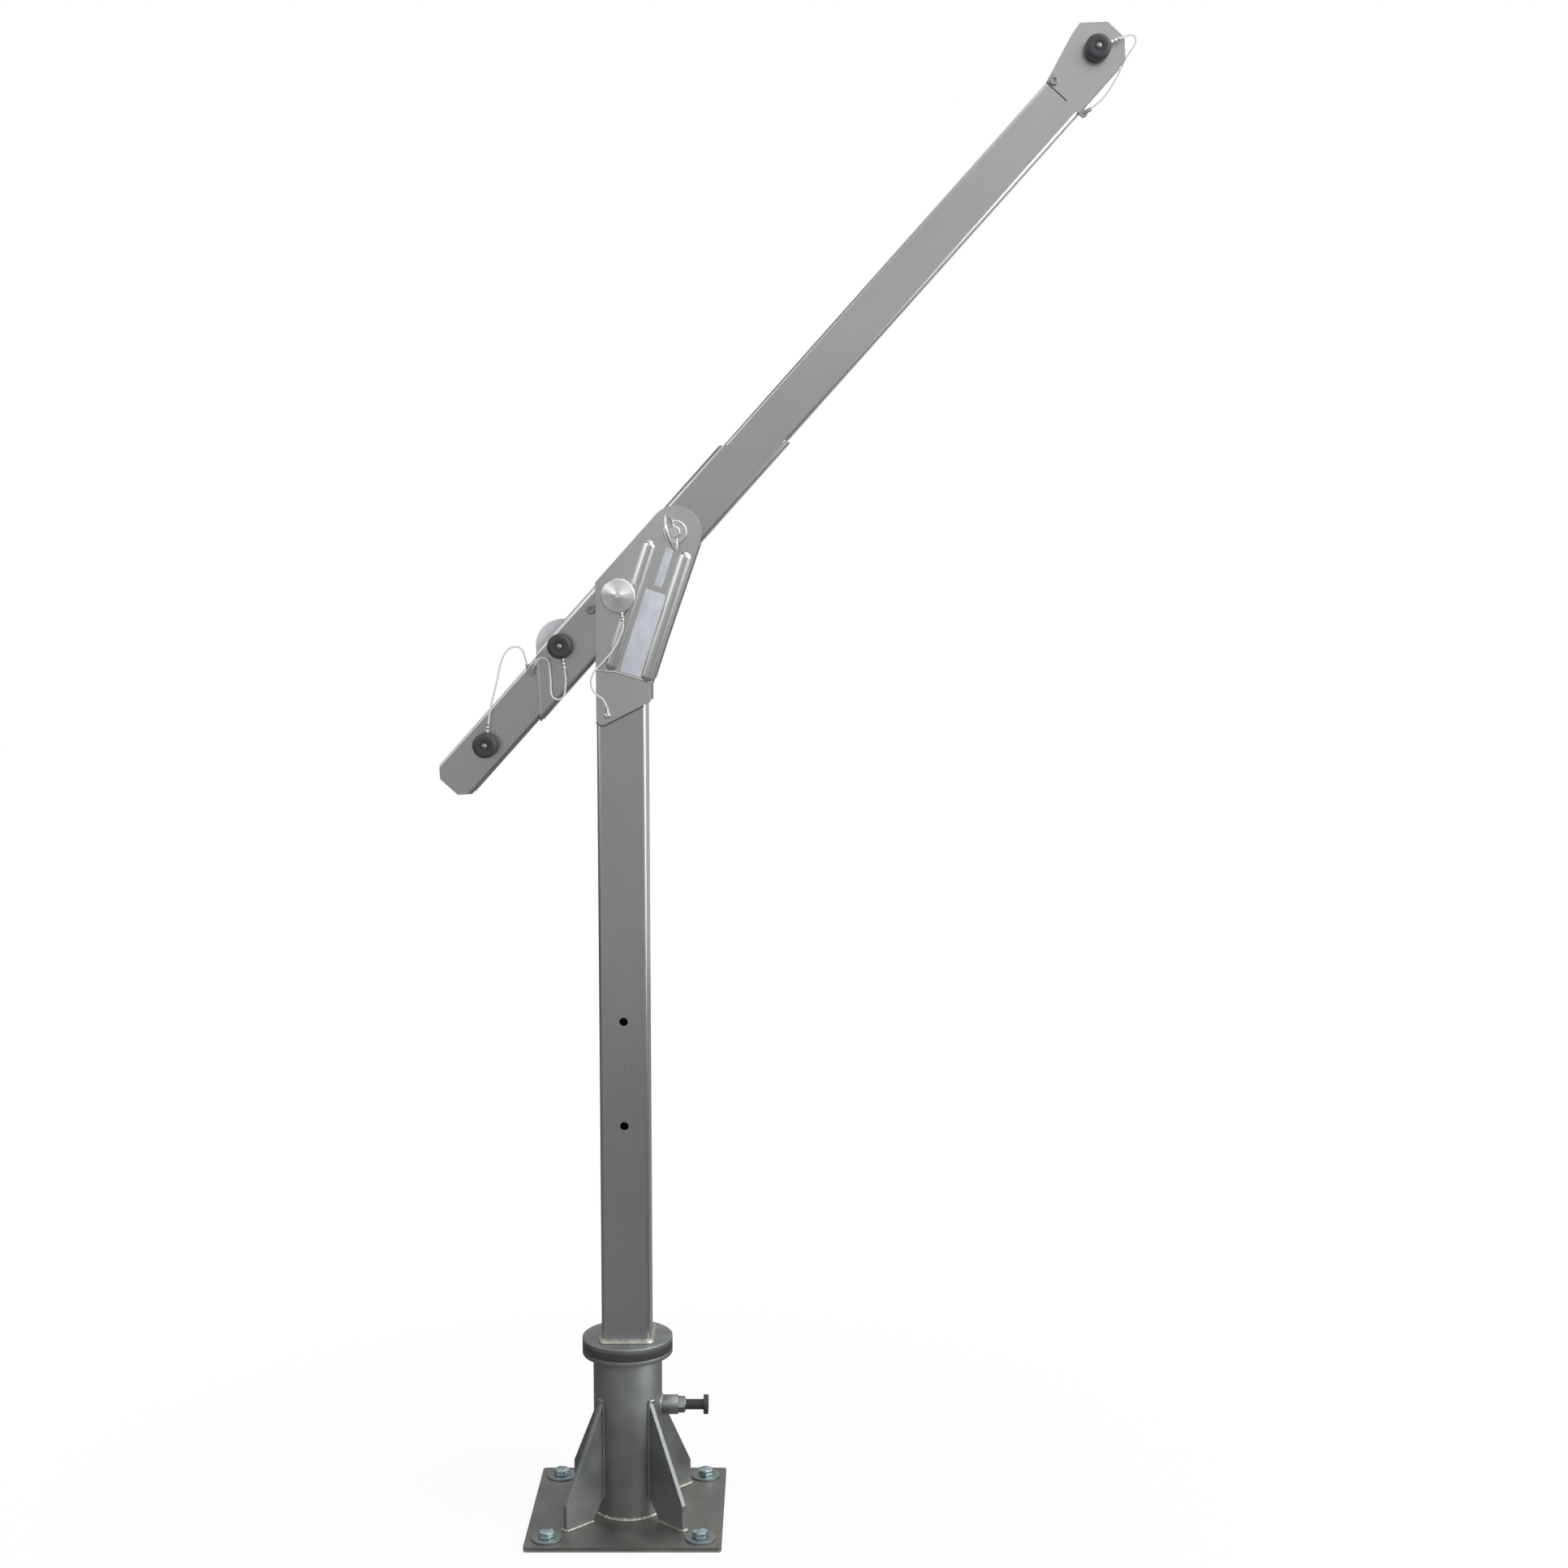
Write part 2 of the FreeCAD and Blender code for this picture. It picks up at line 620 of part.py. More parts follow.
def head():
    save("cheek_front", cheek(-1, True))
    save("cheek_back", cheek(1, False))
    washers = []
    for side in (-1, 1):
        inner = side * (sleeve_half + SIDE_GAP)
        washer = collar(PIVOT_WASHER_DIAMETER / 2, PIVOT_DIAMETER / 2 + SEAT_GAP, pivot.x, pivot.z, inner,
                        side * mast_half)
        washers.append(washer)
    save("pivot_washers", *washers)


def pivot_pin():
    head_face = -cheek_outer - PIVOT_HEAD_THICKNESS
    stub_end = head_face - PIVOT_STUB_LENGTH
    clip_start = cheek_outer + SIDE_GAP
    clip_end = clip_start + CIRCLIP_THICKNESS
    radius = PIVOT_DIAMETER / 2
    hole_place = V(pivot.x, (head_face + stub_end) / 2, pivot.z)
    tilt = math.radians(RING_TILT)
    hole_axis = V(-math.sin(tilt), 0, math.cos(tilt))
    reach = hole_axis * PIVOT_STUB_DIAMETER
    pin_end = clip_end + PIVOT_END
    shaft = across(radius, pivot.x, pivot.z, -cheek_outer, pin_end)
    head_disc = across(PIVOT_HEAD_DIAMETER / 2, pivot.x, pivot.z, head_face, -cheek_outer)
    stub = across(PIVOT_STUB_DIAMETER / 2, pivot.x, pivot.z, stub_end, head_face)
    pin = fused(
        shaft.makeChamfer(PIVOT_CHAMFER, rims(shaft, ACROSS, pin_end)),
        head_disc.makeChamfer(PIVOT_CHAMFER, rims(head_disc, ACROSS, head_face)),
        stub.makeChamfer(PIVOT_CHAMFER, rims(stub, ACROSS, stub_end)),
    )
    groove = radius - CIRCLIP_DEPTH
    pin = pin.cut(collar(radius + CIRCLIP_DEPTH, groove, pivot.x, pivot.z, clip_start, clip_end))
    pin = pin.cut(rod(RING_HOLE / 2, hole_place - reach, hole_place + reach))
    save("pivot_pin", pin)

    clip_inner = groove + SEAT_GAP
    clip = collar(clip_inner + CIRCLIP_WIDTH, clip_inner, pivot.x, pivot.z, clip_start + SEAT_GAP,
                  clip_end - SEAT_GAP)
    centre = (pivot.x, pivot.z)
    gap = [centre] + [polar(centre, PIVOT_DIAMETER, 90 + CIRCLIP_GAP_ANGLE * turn) for turn in (-0.5, 0.5)]
    save("pivot_circlip", clip.cut(slab(gap, clip_start, clip_end)))

    loop = (RING_DIAMETER - RING_WIRE) / 2
    sag = loop - math.sqrt(loop ** 2 - (PIVOT_STUB_DIAMETER / 2) ** 2)
    loop_centre = hole_place - ACROSS * (loop - sag / 2)
    loop_axis = hole_axis.cross(ACROSS)
    pull_ring = Part.makeTorus(loop, RING_WIRE / 2, loop_centre, loop_axis)
    pull_ring.rotate(hole_place, hole_axis, RING_SWING)
    save("pull_ring", pull_ring)


def lock_pin():
    place = lock_place()
    x, z = place.x, place.z
    bush_end = -cheek_outer - LOCK_BUSH_PROUD
    bush = collar(LOCK_BUSH_DIAMETER / 2, LOCK_DIAMETER / 2 + RUNNING_GAP, x, z, bush_end, -mast_half)
    save("lock_bush", bush)
    bead_height = BEAD_RADIUS - BEAD_SINK
    head_back = -cheek_outer - max(bead_height, LOCK_BUSH_PROUD) - SIDE_GAP - LOCK_TRAVEL
    rim_face = head_back - LOCK_HEAD_RIM
    cone = Part.makeCone(LOCK_HEAD_DIAMETER / 2, LOCK_HEAD_FLAT / 2, LOCK_HEAD_CONE, V(x, rim_face, z), -ACROSS)
    nose = -sleeve_half - LOCK_NOSE_GAP
    shaft = across(LOCK_DIAMETER / 2, x, z, head_back, nose)
    disc = across(LOCK_HEAD_DIAMETER / 2, x, z, rim_face, head_back)
    pin = fused(
        shaft.makeChamfer(LOCK_CHAMFER, rims(shaft, ACROSS, nose)),
        disc.makeChamfer(LOCK_CHAMFER, rims(disc, ACROSS, head_back)),
        cone,
    )
    mark = LOCK_CENTRE_MARK / 2
    pin = pin.cut(Part.makeCone(mark, 0, mark, V(x, rim_face - LOCK_HEAD_CONE, z), ACROSS))
    save("lock_pin", pin)

    depth = (head_back + rim_face) / 2
    rim = LOCK_HEAD_DIAMETER / 2 + SEAT_GAP
    near = polar((x, z), rim, LOCK_FERRULE_ANGLE)
    far = polar((x, z), rim + LOCK_FERRULE_LENGTH, LOCK_FERRULE_ANGLE)
    ferrule_start, ferrule_end = V(near[0], depth, near[1]), V(far[0], depth, far[1])
    save("lock_ferrule", ferrule(ferrule_start, ferrule_end))

    eye_place = (LOCK_EYE_FROM_MAST_TOP[0], mast_top + LOCK_EYE_FROM_MAST_TOP[1])
    crimp_depth = -cheek_outer - EYE_CRIMP_LIFT
    eye, eye_end = lanyard_eye(eye_place, LOCK_EYE_DIAMETER, -cheek_outer, crimp_depth, [LOCK_CRIMP_ANGLE])
    save("lock_eye", eye)
    route = [V(x_off, y, mast_top + z_off) for x_off, z_off, y in LOCK_ROUTE]
    lanyard("lock_lanyard", lead_out(ferrule_start, ferrule_end, LOCK_LEAD) + route + eye_end)


def boom_tube():
    high, wide = BOOM_HEIGHT / 2, boom_half
    inner_high, inner_wide = high - BOOM_WALL, boom_inner_half
    tube = rounded_block(V(-BOOM_TAIL, -wide, -high), V(BOOM_FRONT, wide, high), BOOM_CORNER, ALONG)
    bore = rounded_block(V(-BOOM_TAIL, -inner_wide, -inner_high), V(BOOM_FRONT, inner_wide, inner_high),
                         BOOM_CORNER - BOOM_WALL, ALONG)
    tube = tube.cut(bore)
    for rise in (-high, high):
        inwards = -TAIL_CHAMFER if rise > 0 else TAIL_CHAMFER
        corner = [(-BOOM_TAIL, rise), (TAIL_CHAMFER - BOOM_TAIL, rise), (-BOOM_TAIL, rise + inwards)]
        tube = tube.cut(slab(corner, -wide, wide))
    tube = tube.cut(rope_slots(high))
    tube = tube.cut(boom_pin_holes(wide))
    save("boom_tube", on_boom(tube))


def rope_slots(reach):
    """Cut for the rope below the tail and for the tail sheave above it."""
    half = ROPE_SLOT_WIDTH / 2
    below = block(V(-BOOM_TAIL, -half, -reach), V(-ROPE_SLOT_END, half, 0))
    sheave_half = TAIL_SHEAVE_DIAMETER / 2 + SHEAVE_SLOT_MARGIN
    above = block(V(-SHEAVE_PIN_BACK - sheave_half, -half, 0), V(sheave_half - SHEAVE_PIN_BACK, half, reach))
    return Part.makeCompound([below, above])


def boom_pin_holes(reach):
    """Cross bores shared by the boom tube and its sleeve."""
    lock_hole = LOCK_DIAMETER / 2 + SIDE_GAP
    return Part.makeCompound([
        across(PIVOT_BUSH_DIAMETER / 2 + SEAT_GAP, 0, 0, -reach, reach),
        across(lock_hole, -LOCK_BACK, 0, -reach, reach),
        across(pin_bore, -SHEAVE_PIN_BACK, SHEAVE_PIN_RISE, -reach, reach),
        across(pin_bore, -tail_pin_back, TAIL_PIN_RISE, -reach, reach),
        across(KEEPER_DIAMETER / 2 + SEAT_GAP, -SLEEVE_KEEPER_BACK, SLEEVE_KEEPER_RISE, -reach, reach),
    ])


def boom_sleeve():
    high = BOOM_HEIGHT / 2 + SLEEVE_WALL
    full = 2 * high
    outline = [(-SLEEVE_BACK, high), (SLEEVE_FRONT, high), (SLEEVE_FRONT + full, -high), (-SLEEVE_BACK - full, -high)]
    sleeve = slab(outline, -sleeve_half, sleeve_half)
    start, end = -SLEEVE_BACK - full, SLEEVE_FRONT + full
    outside = rounded_block(V(start, -sleeve_half, -high), V(end, sleeve_half, high), SLEEVE_CORNER, ALONG)
    bore = rounded_block(V(start, -boom_half, -BOOM_HEIGHT / 2), V(end, boom_half, BOOM_HEIGHT / 2),
                         BOOM_CORNER, ALONG)
    sleeve = sleeve.common(outside).cut(bore)
    sleeve = sleeve.cut(rope_slots(high)).cut(boom_pin_holes(sleeve_half))
    save("boom_sleeve", on_boom(sleeve))
    bush = collar(PIVOT_BUSH_DIAMETER / 2, PIVOT_DIAMETER / 2 + RUNNING_GAP, 0, 0, -sleeve_half, sleeve_half)
    save("pivot_bush", on_boom(bush))


def tip_cheeks():
    low = -BOOM_HEIGHT / 2
    outline = [
        (BOOM_FRONT, low),
        (BOOM_FRONT, TIP_SLIT_BOTTOM),
        (BOOM_FRONT + TIP_SLIT, TIP_SLIT_BOTTOM),
        (BOOM_FRONT + TIP_SLIT, BOOM_HEIGHT / 2),
        (tip_end - TIP_SHOULDER_BACK, TIP_SHOULDER_RISE),
        (tip_end - TIP_CREST_BACK, TIP_CREST_RISE),
        (tip_end, TIP_NOSE_TOP),
        (tip_end, TIP_NOSE_BOTTOM),
        (tip_end - TIP_CHIN_BACK, low),
    ]
    for side, name in ((-1, "tip_cheek_front"), (1, "tip_cheek_back")):
        plate = slab(outline, side * boom_half, side * tip_inner_half)
        plate = plate.cut(across(pin_bore, TIP_PIN_ALONG, TIP_PIN_RISE, -boom_half, boom_half))
        keeper_along = tip_end - TIP_KEEPER_BACK
        keeper_hole = KEEPER_DIAMETER / 2 + SEAT_GAP
        plate = plate.cut(across(keeper_hole, keeper_along, TIP_KEEPER_RISE, -boom_half, boom_half))
        save(name, on_boom(plate))


def keeper_bolts():
    bolts = []
    places = (
        (tip_end - TIP_KEEPER_BACK, TIP_KEEPER_RISE, boom_half),
        (-SLEEVE_KEEPER_BACK, SLEEVE_KEEPER_RISE, sleeve_half),
    )
    for along, rise, half in places:
        bolt = across(KEEPER_DIAMETER / 2, along, rise, -half, half)
        for side in (-1, 1):
            head_end = side * (half + KEEPER_HEAD_THICKNESS)
            bolt_head = across(KEEPER_HEAD_DIAMETER / 2, along, rise, side * half, head_end)
            bolt = fused(bolt, bolt_head.makeFillet(KEEPER_HEAD_ROUND, rims(bolt_head, ACROSS, head_end)))
            bolt = bolt.cut(slab(hexagon((along, rise), KEEPER_SOCKET_FLATS), head_end - side * KEEPER_SOCKET_DEPTH,
                                 head_end))
        bolts.append(on_boom(bolt))
    save("keeper_bolts", *bolts)


def sheave_profile(radius):
    """Half section of a sheave as a wire of (radius, across) points with a round rope groove."""
    bore = SHEAVE_BUSH_DIAMETER / 2 + SEAT_GAP
    hub, hub_half = SHEAVE_HUB_DIAMETER / 2, SHEAVE_HUB_LENGTH / 2
    rim, rim_half = radius - SHEAVE_RIM_DEPTH, SHEAVE_RIM_WIDTH / 2
    web_half, groove_half = SHEAVE_WEB / 2, GROOVE_WIDTH / 2
    side = [(bore, hub_half), (hub, hub_half), (hub, web_half), (rim, web_half), (rim, rim_half),
            (radius, rim_half), (radius, groove_half)]
    front = [V(r, -y, 0) for r, y in side]
    back = [V(r, y, 0) for r, y in reversed(side)]
    edges = [Part.LineSegment(first, last).toShape() for first, last in zip(front, front[1:])]
    groove_bottom = V(radius - GROOVE_DEPTH, 0, 0)
    edges.append(Part.Arc(front[-1], groove_bottom, back[0]).toShape())
    edges += [Part.LineSegment(first, last).toShape() for first, last in zip(back, back[1:])]
    edges.append(Part.LineSegment(back[-1], front[0]).toShape())
    return Part.Wire(edges)


def sheave(name, along, rise, diameter):
    wheel = Part.Face(sheave_profile(diameter / 2)).revolve(V(0, 0, 0), ACROSS, 360)
    wheel.translate(V(along, 0, rise))
    save(name, on_boom(wheel))
    half = SHEAVE_HUB_LENGTH / 2
    save(name + "_bush", on_boom(collar(SHEAVE_BUSH_DIAMETER / 2, pin_bore, along, rise, -half, half)))


def sheaves():
    sheave("tip_sheave", TIP_PIN_ALONG, TIP_PIN_RISE, TIP_SHEAVE_DIAMETER)
    sheave("tail_sheave", -SHEAVE_PIN_BACK, SHEAVE_PIN_RISE, TAIL_SHEAVE_DIAMETER)
    spacers = []
    near = SHEAVE_HUB_LENGTH / 2 + SIDE_GAP
    for along, rise, far in ((TIP_PIN_ALONG, TIP_PIN_RISE, tip_inner_half),
                             (-SHEAVE_PIN_BACK, SHEAVE_PIN_RISE, boom_inner_half)):
        for side in (-1, 1):
            spacer = collar(SPACER_DIAMETER / 2, pin_bore, along, rise, side * near, side * far)
            spacers.append(on_boom(spacer))
    save("sheave_spacers", *spacers)


def tail_roller():
    half = boom_inner_half - SIDE_GAP
    ends = ROLLER_DIAMETER / 2
    corners = [V(ends, half, 0), V(pin_bore, half, 0), V(pin_bore, -half, 0), V(ends, -half, 0)]
    edges = [Part.LineSegment(first, last).toShape() for first, last in zip(corners, corners[1:])]
    edges.append(Part.Arc(corners[-1], V(ROLLER_WAIST / 2, 0, 0), corners[0]).toShape())
    roller = Part.Face(Part.Wire(edges)).revolve(V(0, 0, 0), ACROSS, 360)
    roller.translate(V(-tail_pin_back, 0, TAIL_PIN_RISE))
    save("tail_roller", on_boom(roller))


def quick_pin(name, along, rise, half, ferrule_angle):
    """Pull-out pin with knob, release button and ferrule. Gives the ferrule's two ends."""
    knob_back = -half - SIDE_GAP
    knob_face = knob_back - KNOB_LENGTH
    pin_front = knob_back - PIN_GRIP
    pin_end = half + PIN_OVERRUN
    pin = across(pin_radius, along, rise, pin_front, pin_end)
    save(name + "_pin", on_boom(pin.makeChamfer(PIN_CHAMFER, rims(pin, ACROSS, pin_end))))

    knob = across(KNOB_DIAMETER / 2, along, rise, knob_face, knob_back)
    knob = knob.makeFillet(KNOB_ROUND, rims(knob, ACROSS, knob_face))
    knob = knob.makeChamfer(KNOB_BACK_CHAMFER, rims(knob, ACROSS, knob_back))
    knob = knob.cut(across(KNOB_DISH_DIAMETER / 2, along, rise, knob_face, knob_face + KNOB_DISH_DEPTH))
    button = BUTTON_DIAMETER / 2
    button_back = knob_face - BUTTON_PROUD + BUTTON_LENGTH
    well = button_back + BUTTON_TRAVEL + SIDE_GAP
    knob = knob.cut(across(pin_radius + SEAT_GAP, along, rise, pin_front, knob_back))
    knob = knob.cut(across(button + RUNNING_GAP, along, rise, knob_face, well))
    save(name + "_knob", on_boom(knob))
    button_face = knob_face - BUTTON_PROUD
    press = across(button, along, rise, button_face, button_back)
    save(name + "_button", on_boom(press.makeFillet(BUTTON_ROUND, rims(press, ACROSS, button_face))))

    depth = -half - FERRULE_LIFT
    near = polar((along, rise), KNOB_DIAMETER / 2 + SEAT_GAP, ferrule_angle)
    far = polar((along, rise), KNOB_DIAMETER / 2 + FERRULE_LENGTH, ferrule_angle)
    start, end = V(near[0], depth, near[1]), V(far[0], depth, far[1])
    save(name + "_ferrule", on_boom(ferrule(start, end)))
    return start, end


def ferrule(start, end):
    """Sleeve pressed on the rope in two bands."""
    span = end - start
    band = span * (FERRULE_BAND / 2 / span.Length)
    sleeve = rod(FERRULE_DIAMETER / 2, start, end)
    for middle in (start + span * (1 / 3), start + span * (2 / 3)):
        sleeve = sleeve.cut(ring(FERRULE_DIAMETER, FERRULE_WAIST / 2, middle - band, middle + band))
    return sleeve


def lead_out(start, end, lead):
    """First two points of a lanyard, straight out of its ferrule and clear of it."""
    way = (end - start).normalize()
    return [end + way * LANYARD_GAP, end + way * lead]


def lanyard_eye(place, diameter, seat, crimp_depth, crimp_angles):
    """Round eye on a face, with one crimp for each lanyard. Gives the solid and the crimps' ends."""
    along, rise = place
    eye = across(diameter / 2, along, rise, crimp_depth - FERRULE_DIAMETER / 2, seat)
    ends = []
    for angle in crimp_angles:
        far = polar(place, diameter / 2 + CRIMP_LENGTH, angle)
        end = V(far[0], crimp_depth, far[1])
        eye = fused(eye, rod(FERRULE_DIAMETER / 2, V(along, crimp_depth, rise), end))
        ends.append(end)
    return eye, ends


def tip_eye():
    """Lug below the front tip cheek, with the tip lanyard's crimp. Gives the solid and the crimp's end."""
    along = BOOM_FRONT + TIP_EYE_AHEAD
    rise = -BOOM_HEIGHT / 2 - LUG_DROP
    centre = (boom_half + tip_inner_half) / -2
    radius = LUG_DROP
    low, high = centre - LUG_THICKNESS / 2, centre + LUG_THICKNESS / 2
    lug = fused(
        across(radius, along, rise, low, high),
        block(V(along - radius, low, rise), V(along + radius, high, -BOOM_HEIGHT / 2)),
    )
    far = polar((along, rise), radius + CRIMP_LENGTH, TIP_CRIMP_ANGLE)
    end = V(far[0], centre, far[1])
    return fused(lug, rod(FERRULE_DIAMETER / 2, V(along, centre, rise), end)), end


def lanyard(name, points):
    """Wire rope along straight runs joined by tangent arcs as large as the runs allow."""
    edges = []
    radii = []
    length = 0.0
    last = points[0]
    for before, corner, after in zip(points, points[1:], points[2:]):
        incoming, outgoing = corner - before, after - corner
        turn = incoming.getAngle(outgoing)
        leg = 0.45 * min(incoming.Length, outgoing.Length)
        radius = leg / math.tan(turn / 2)
        first = corner - incoming.normalize() * leg
        end = corner + outgoing.normalize() * leg
        bisector = (first + end) * 0.5 - corner
        middle = corner + bisector.normalize() * (math.hypot(radius, leg) - radius)
        edges.append(Part.LineSegment(last, first).toShape())
        edges.append(Part.Arc(first, middle, end).toShape())
        radii.append(radius)
        length += (first - last).Length + radius * turn
        last = end
    edges.append(Part.LineSegment(last, points[-1]).toShape())
    length += (points[-1] - last).Length
    path = Part.Wire(edges)
    section = Part.Wire(Part.makeCircle(LANYARD_DIAMETER / 2, points[0], points[1] - points[0]))
    rope = path.makePipeShell([section], True, False)
    area = math.pi * LANYARD_DIAMETER ** 2 / 4
    print("%s length %.1f mm, radii %s" % (name, length, " ".join("%.1f" % radius for radius in radii)))
    print("%s volume %.1f of %.1f mm3" % (name, rope.Volume, area * length))
    save(name, rope)


def boom_lanyard(name, ferrule_ends, lead, route, end):
    points = lead_out(*ferrule_ends, lead) + [V(along, y, rise) for along, rise, y in route] + [end]
    lanyard(name, [boom_place.multVec(point) for point in points])


def pins_and_lanyards():
    tip_ferrule = quick_pin("tip", TIP_PIN_ALONG, TIP_PIN_RISE, boom_half, TIP_FERRULE_ANGLE)
    sheave_ferrule = quick_pin("sheave", -SHEAVE_PIN_BACK, SHEAVE_PIN_RISE, sleeve_half, SHEAVE_FERRULE_ANGLE)
    tail_ferrule = quick_pin("tail", -tail_pin_back, TAIL_PIN_RISE, boom_half, TAIL_FERRULE_ANGLE)
    eye, tip_end_point = tip_eye()
    save("tip_eye", on_boom(eye))
    boom_lanyard("tip_lanyard", tip_ferrule, TIP_LEAD, TIP_ROUTE, tip_end_point)
    crimp_angles = [TAIL_CRIMP_ANGLE, SHEAVE_CRIMP_ANGLE]
    eye_place = (-SLEEVE_BACK - TAIL_EYE_BEHIND_SLEEVE, TAIL_EYE_RISE)
    eye, ends = lanyard_eye(eye_place, EYE_DIAMETER, -boom_half, -boom_half - EYE_CRIMP_LIFT, crimp_angles)
    save("tail_eye", on_boom(eye))
    boom_lanyard("tail_lanyard", tail_ferrule, TAIL_LEAD, TAIL_ROUTE, ends[0])
    boom_lanyard("sheave_lanyard", sheave_ferrule, SHEAVE_LEAD, SHEAVE_ROUTE, ends[1])


def main():
    os.makedirs("parts", exist_ok=True)
    base_plate()
    socket()
    gussets()
    plunger()
    mast()
    head()
    pivot_pin()
    lock_pin()
    boom_tube()
    boom_sleeve()
    tip_cheeks()
    keeper_bolts()
    sheaves()
    tail_roller()
    pins_and_lanyards()


main()
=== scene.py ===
import json
import math

import bmesh
import bpy
from mathutils import Matrix, Vector


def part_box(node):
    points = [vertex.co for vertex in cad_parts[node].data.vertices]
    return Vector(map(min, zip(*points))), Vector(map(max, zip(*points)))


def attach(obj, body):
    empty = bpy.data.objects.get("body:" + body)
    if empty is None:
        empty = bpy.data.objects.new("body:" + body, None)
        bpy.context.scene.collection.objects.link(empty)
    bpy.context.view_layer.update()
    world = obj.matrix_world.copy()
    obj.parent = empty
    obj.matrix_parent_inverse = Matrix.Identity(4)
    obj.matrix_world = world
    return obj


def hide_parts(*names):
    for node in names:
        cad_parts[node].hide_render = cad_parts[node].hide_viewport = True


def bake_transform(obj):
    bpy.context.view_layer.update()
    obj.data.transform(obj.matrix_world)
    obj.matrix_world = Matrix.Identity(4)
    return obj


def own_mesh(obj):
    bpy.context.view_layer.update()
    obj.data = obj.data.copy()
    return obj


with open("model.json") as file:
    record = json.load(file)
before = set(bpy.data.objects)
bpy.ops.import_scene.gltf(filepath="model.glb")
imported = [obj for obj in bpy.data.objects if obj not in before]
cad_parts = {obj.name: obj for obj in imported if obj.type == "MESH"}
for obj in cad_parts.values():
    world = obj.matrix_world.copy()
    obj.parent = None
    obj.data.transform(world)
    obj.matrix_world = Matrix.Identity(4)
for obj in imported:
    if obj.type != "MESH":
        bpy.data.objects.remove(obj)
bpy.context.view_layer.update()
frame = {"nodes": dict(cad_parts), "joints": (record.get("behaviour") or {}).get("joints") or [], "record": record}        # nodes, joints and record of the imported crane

bl_info = {
    "name": "Folding davit crane",
    "version": (1, 0, 0),
    "blender": (4, 5, 0),
    "location": "View3D > Sidebar > Davit",
    "description": "Finishes, welds, bolts, knobs and lanyards for the frame of a folding davit crane",
    "category": "Add Mesh",
}

MM = 0.001
ALONG = Vector((1, 0, 0))
ACROSS = Vector((0, 1, 0))
UP = Vector((0, 0, 1))
QUARTER_TURN = math.pi / 2
FULL_TURN = 2 * math.pi
MERGE_DISTANCE = 1e-6    # metres

# Sizes in millimetres that several pieces share, and the steps round a crimp
CHEEK_SHEET = 5
MAST_CORNER = 6
KNOB_RADIUS = 20
FERRULE_LENGTH = 18
LOCK_FERRULE_LENGTH = 14
LOCK_FERRULE_END = 41.02     # from the lock pin's axis
EYE_CRIMP_LENGTH = 9
CRIMP_STEPS = 24

# Joints by name, and the boom's own directions from its pivot
joints = {joint["name"]: joint for joint in frame["joints"]}
pivot = Vector(joints["boom_fold"]["pos_m"])
boom_along = (pivot - Vector(joints["tail_roller_spin"]["pos_m"])).normalized()
boom_rise = Vector((-boom_along.z, 0, boom_along.x))
boom_angle = math.atan2(boom_along.z, boom_along.x)

# Levels and half widths taken from the solids
plate_half, plate_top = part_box("base_plate")[1].xz
mast_half, mast_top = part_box("mast_tube")[1].xz
mast_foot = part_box("mast_tube")[0].z
socket_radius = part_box("socket_tube")[1].x
socket_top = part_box("socket_flange")[0].z
cheek_face = mast_half + CHEEK_SHEET * MM

# Lanyard routes from ferrule to crimp, in millimetres along and above the boom from the pivot, and across
TIP_ROUTE = [
    (1050.5, -16.0, -44.0),
    (1051.0, -24.5, -43.2),
    (1044.5, -30.0, -42.2),
    (1033.0, -31.2, -40.6),
    (1015.0, -34.5, -38.0),
    (989.5, -43.0, -35.0),
    (962.0, -48.0, -31.5),
    (941.0, -47.9, -28.5),
]
TAIL_ROUTE = [
    (-390.0, 42.3, -45.0),
    (-367.0, 54.2, -45.0),
    (-341.0, 70.0, -44.5),
    (-322.0, 75.5, -43.5),
    (-310.5, 72.5, -42.0),
    (-303.5, 65.0, -40.5),
    (-303.2, 55.0, -39.0),
]
SHEAVE_ROUTE = [
    (-301.9, -34.3, -50.0),
    (-311.6, -41.4, -50.0),
    (-319.6, -41.4, -49.5),
    (-325.7, -36.3, -49.0),
    (-327.1, -28.4, -48.0),
    (-323.1, -21.4, -47.0),
    (-311.9, -11.4, -45.5),
    (-302.2, -1.3, -44.0),
    (-296.2, 5.3, -43.0),
    (-288.8, 12.6, -42.0),
    (-287.8, 19.4, -41.0),
    (-291.0, 25.4, -40.0),
    (-297.2, 28.4, -39.0),
    (-302.6, 27.7, -38.5),
]
# The lock pin's lanyard runs in millimetres along X and above the mast's top, and across
LOCK_ROUTE = [
    (0.5, 55.0, -64.8),
    (-6.5, 40.0, -63.6),
    (-15.5, 27.5, -62.3),
    (-26.5, 15.0, -61.0),
    (-38.0, 4.0, -59.5),
    (-46.0, -9.0, -58.5),
    (-47.5, -22.5, -57.5),
    (-42.5, -34.5, -56.5),
    (-33.0, -41.5, -55.5),
    (-25.5, -47.5, -54.0),
]

# Quick-release pins: the joint on their axis, and their ferrule's turn from the boom's length in degrees
QUICK_PINS = {
    "tip": ("tip_sheave_spin", -26),
    "sheave": ("tail_sheave_spin", -128),
    "tail": ("tail_roller_spin", 34),
}
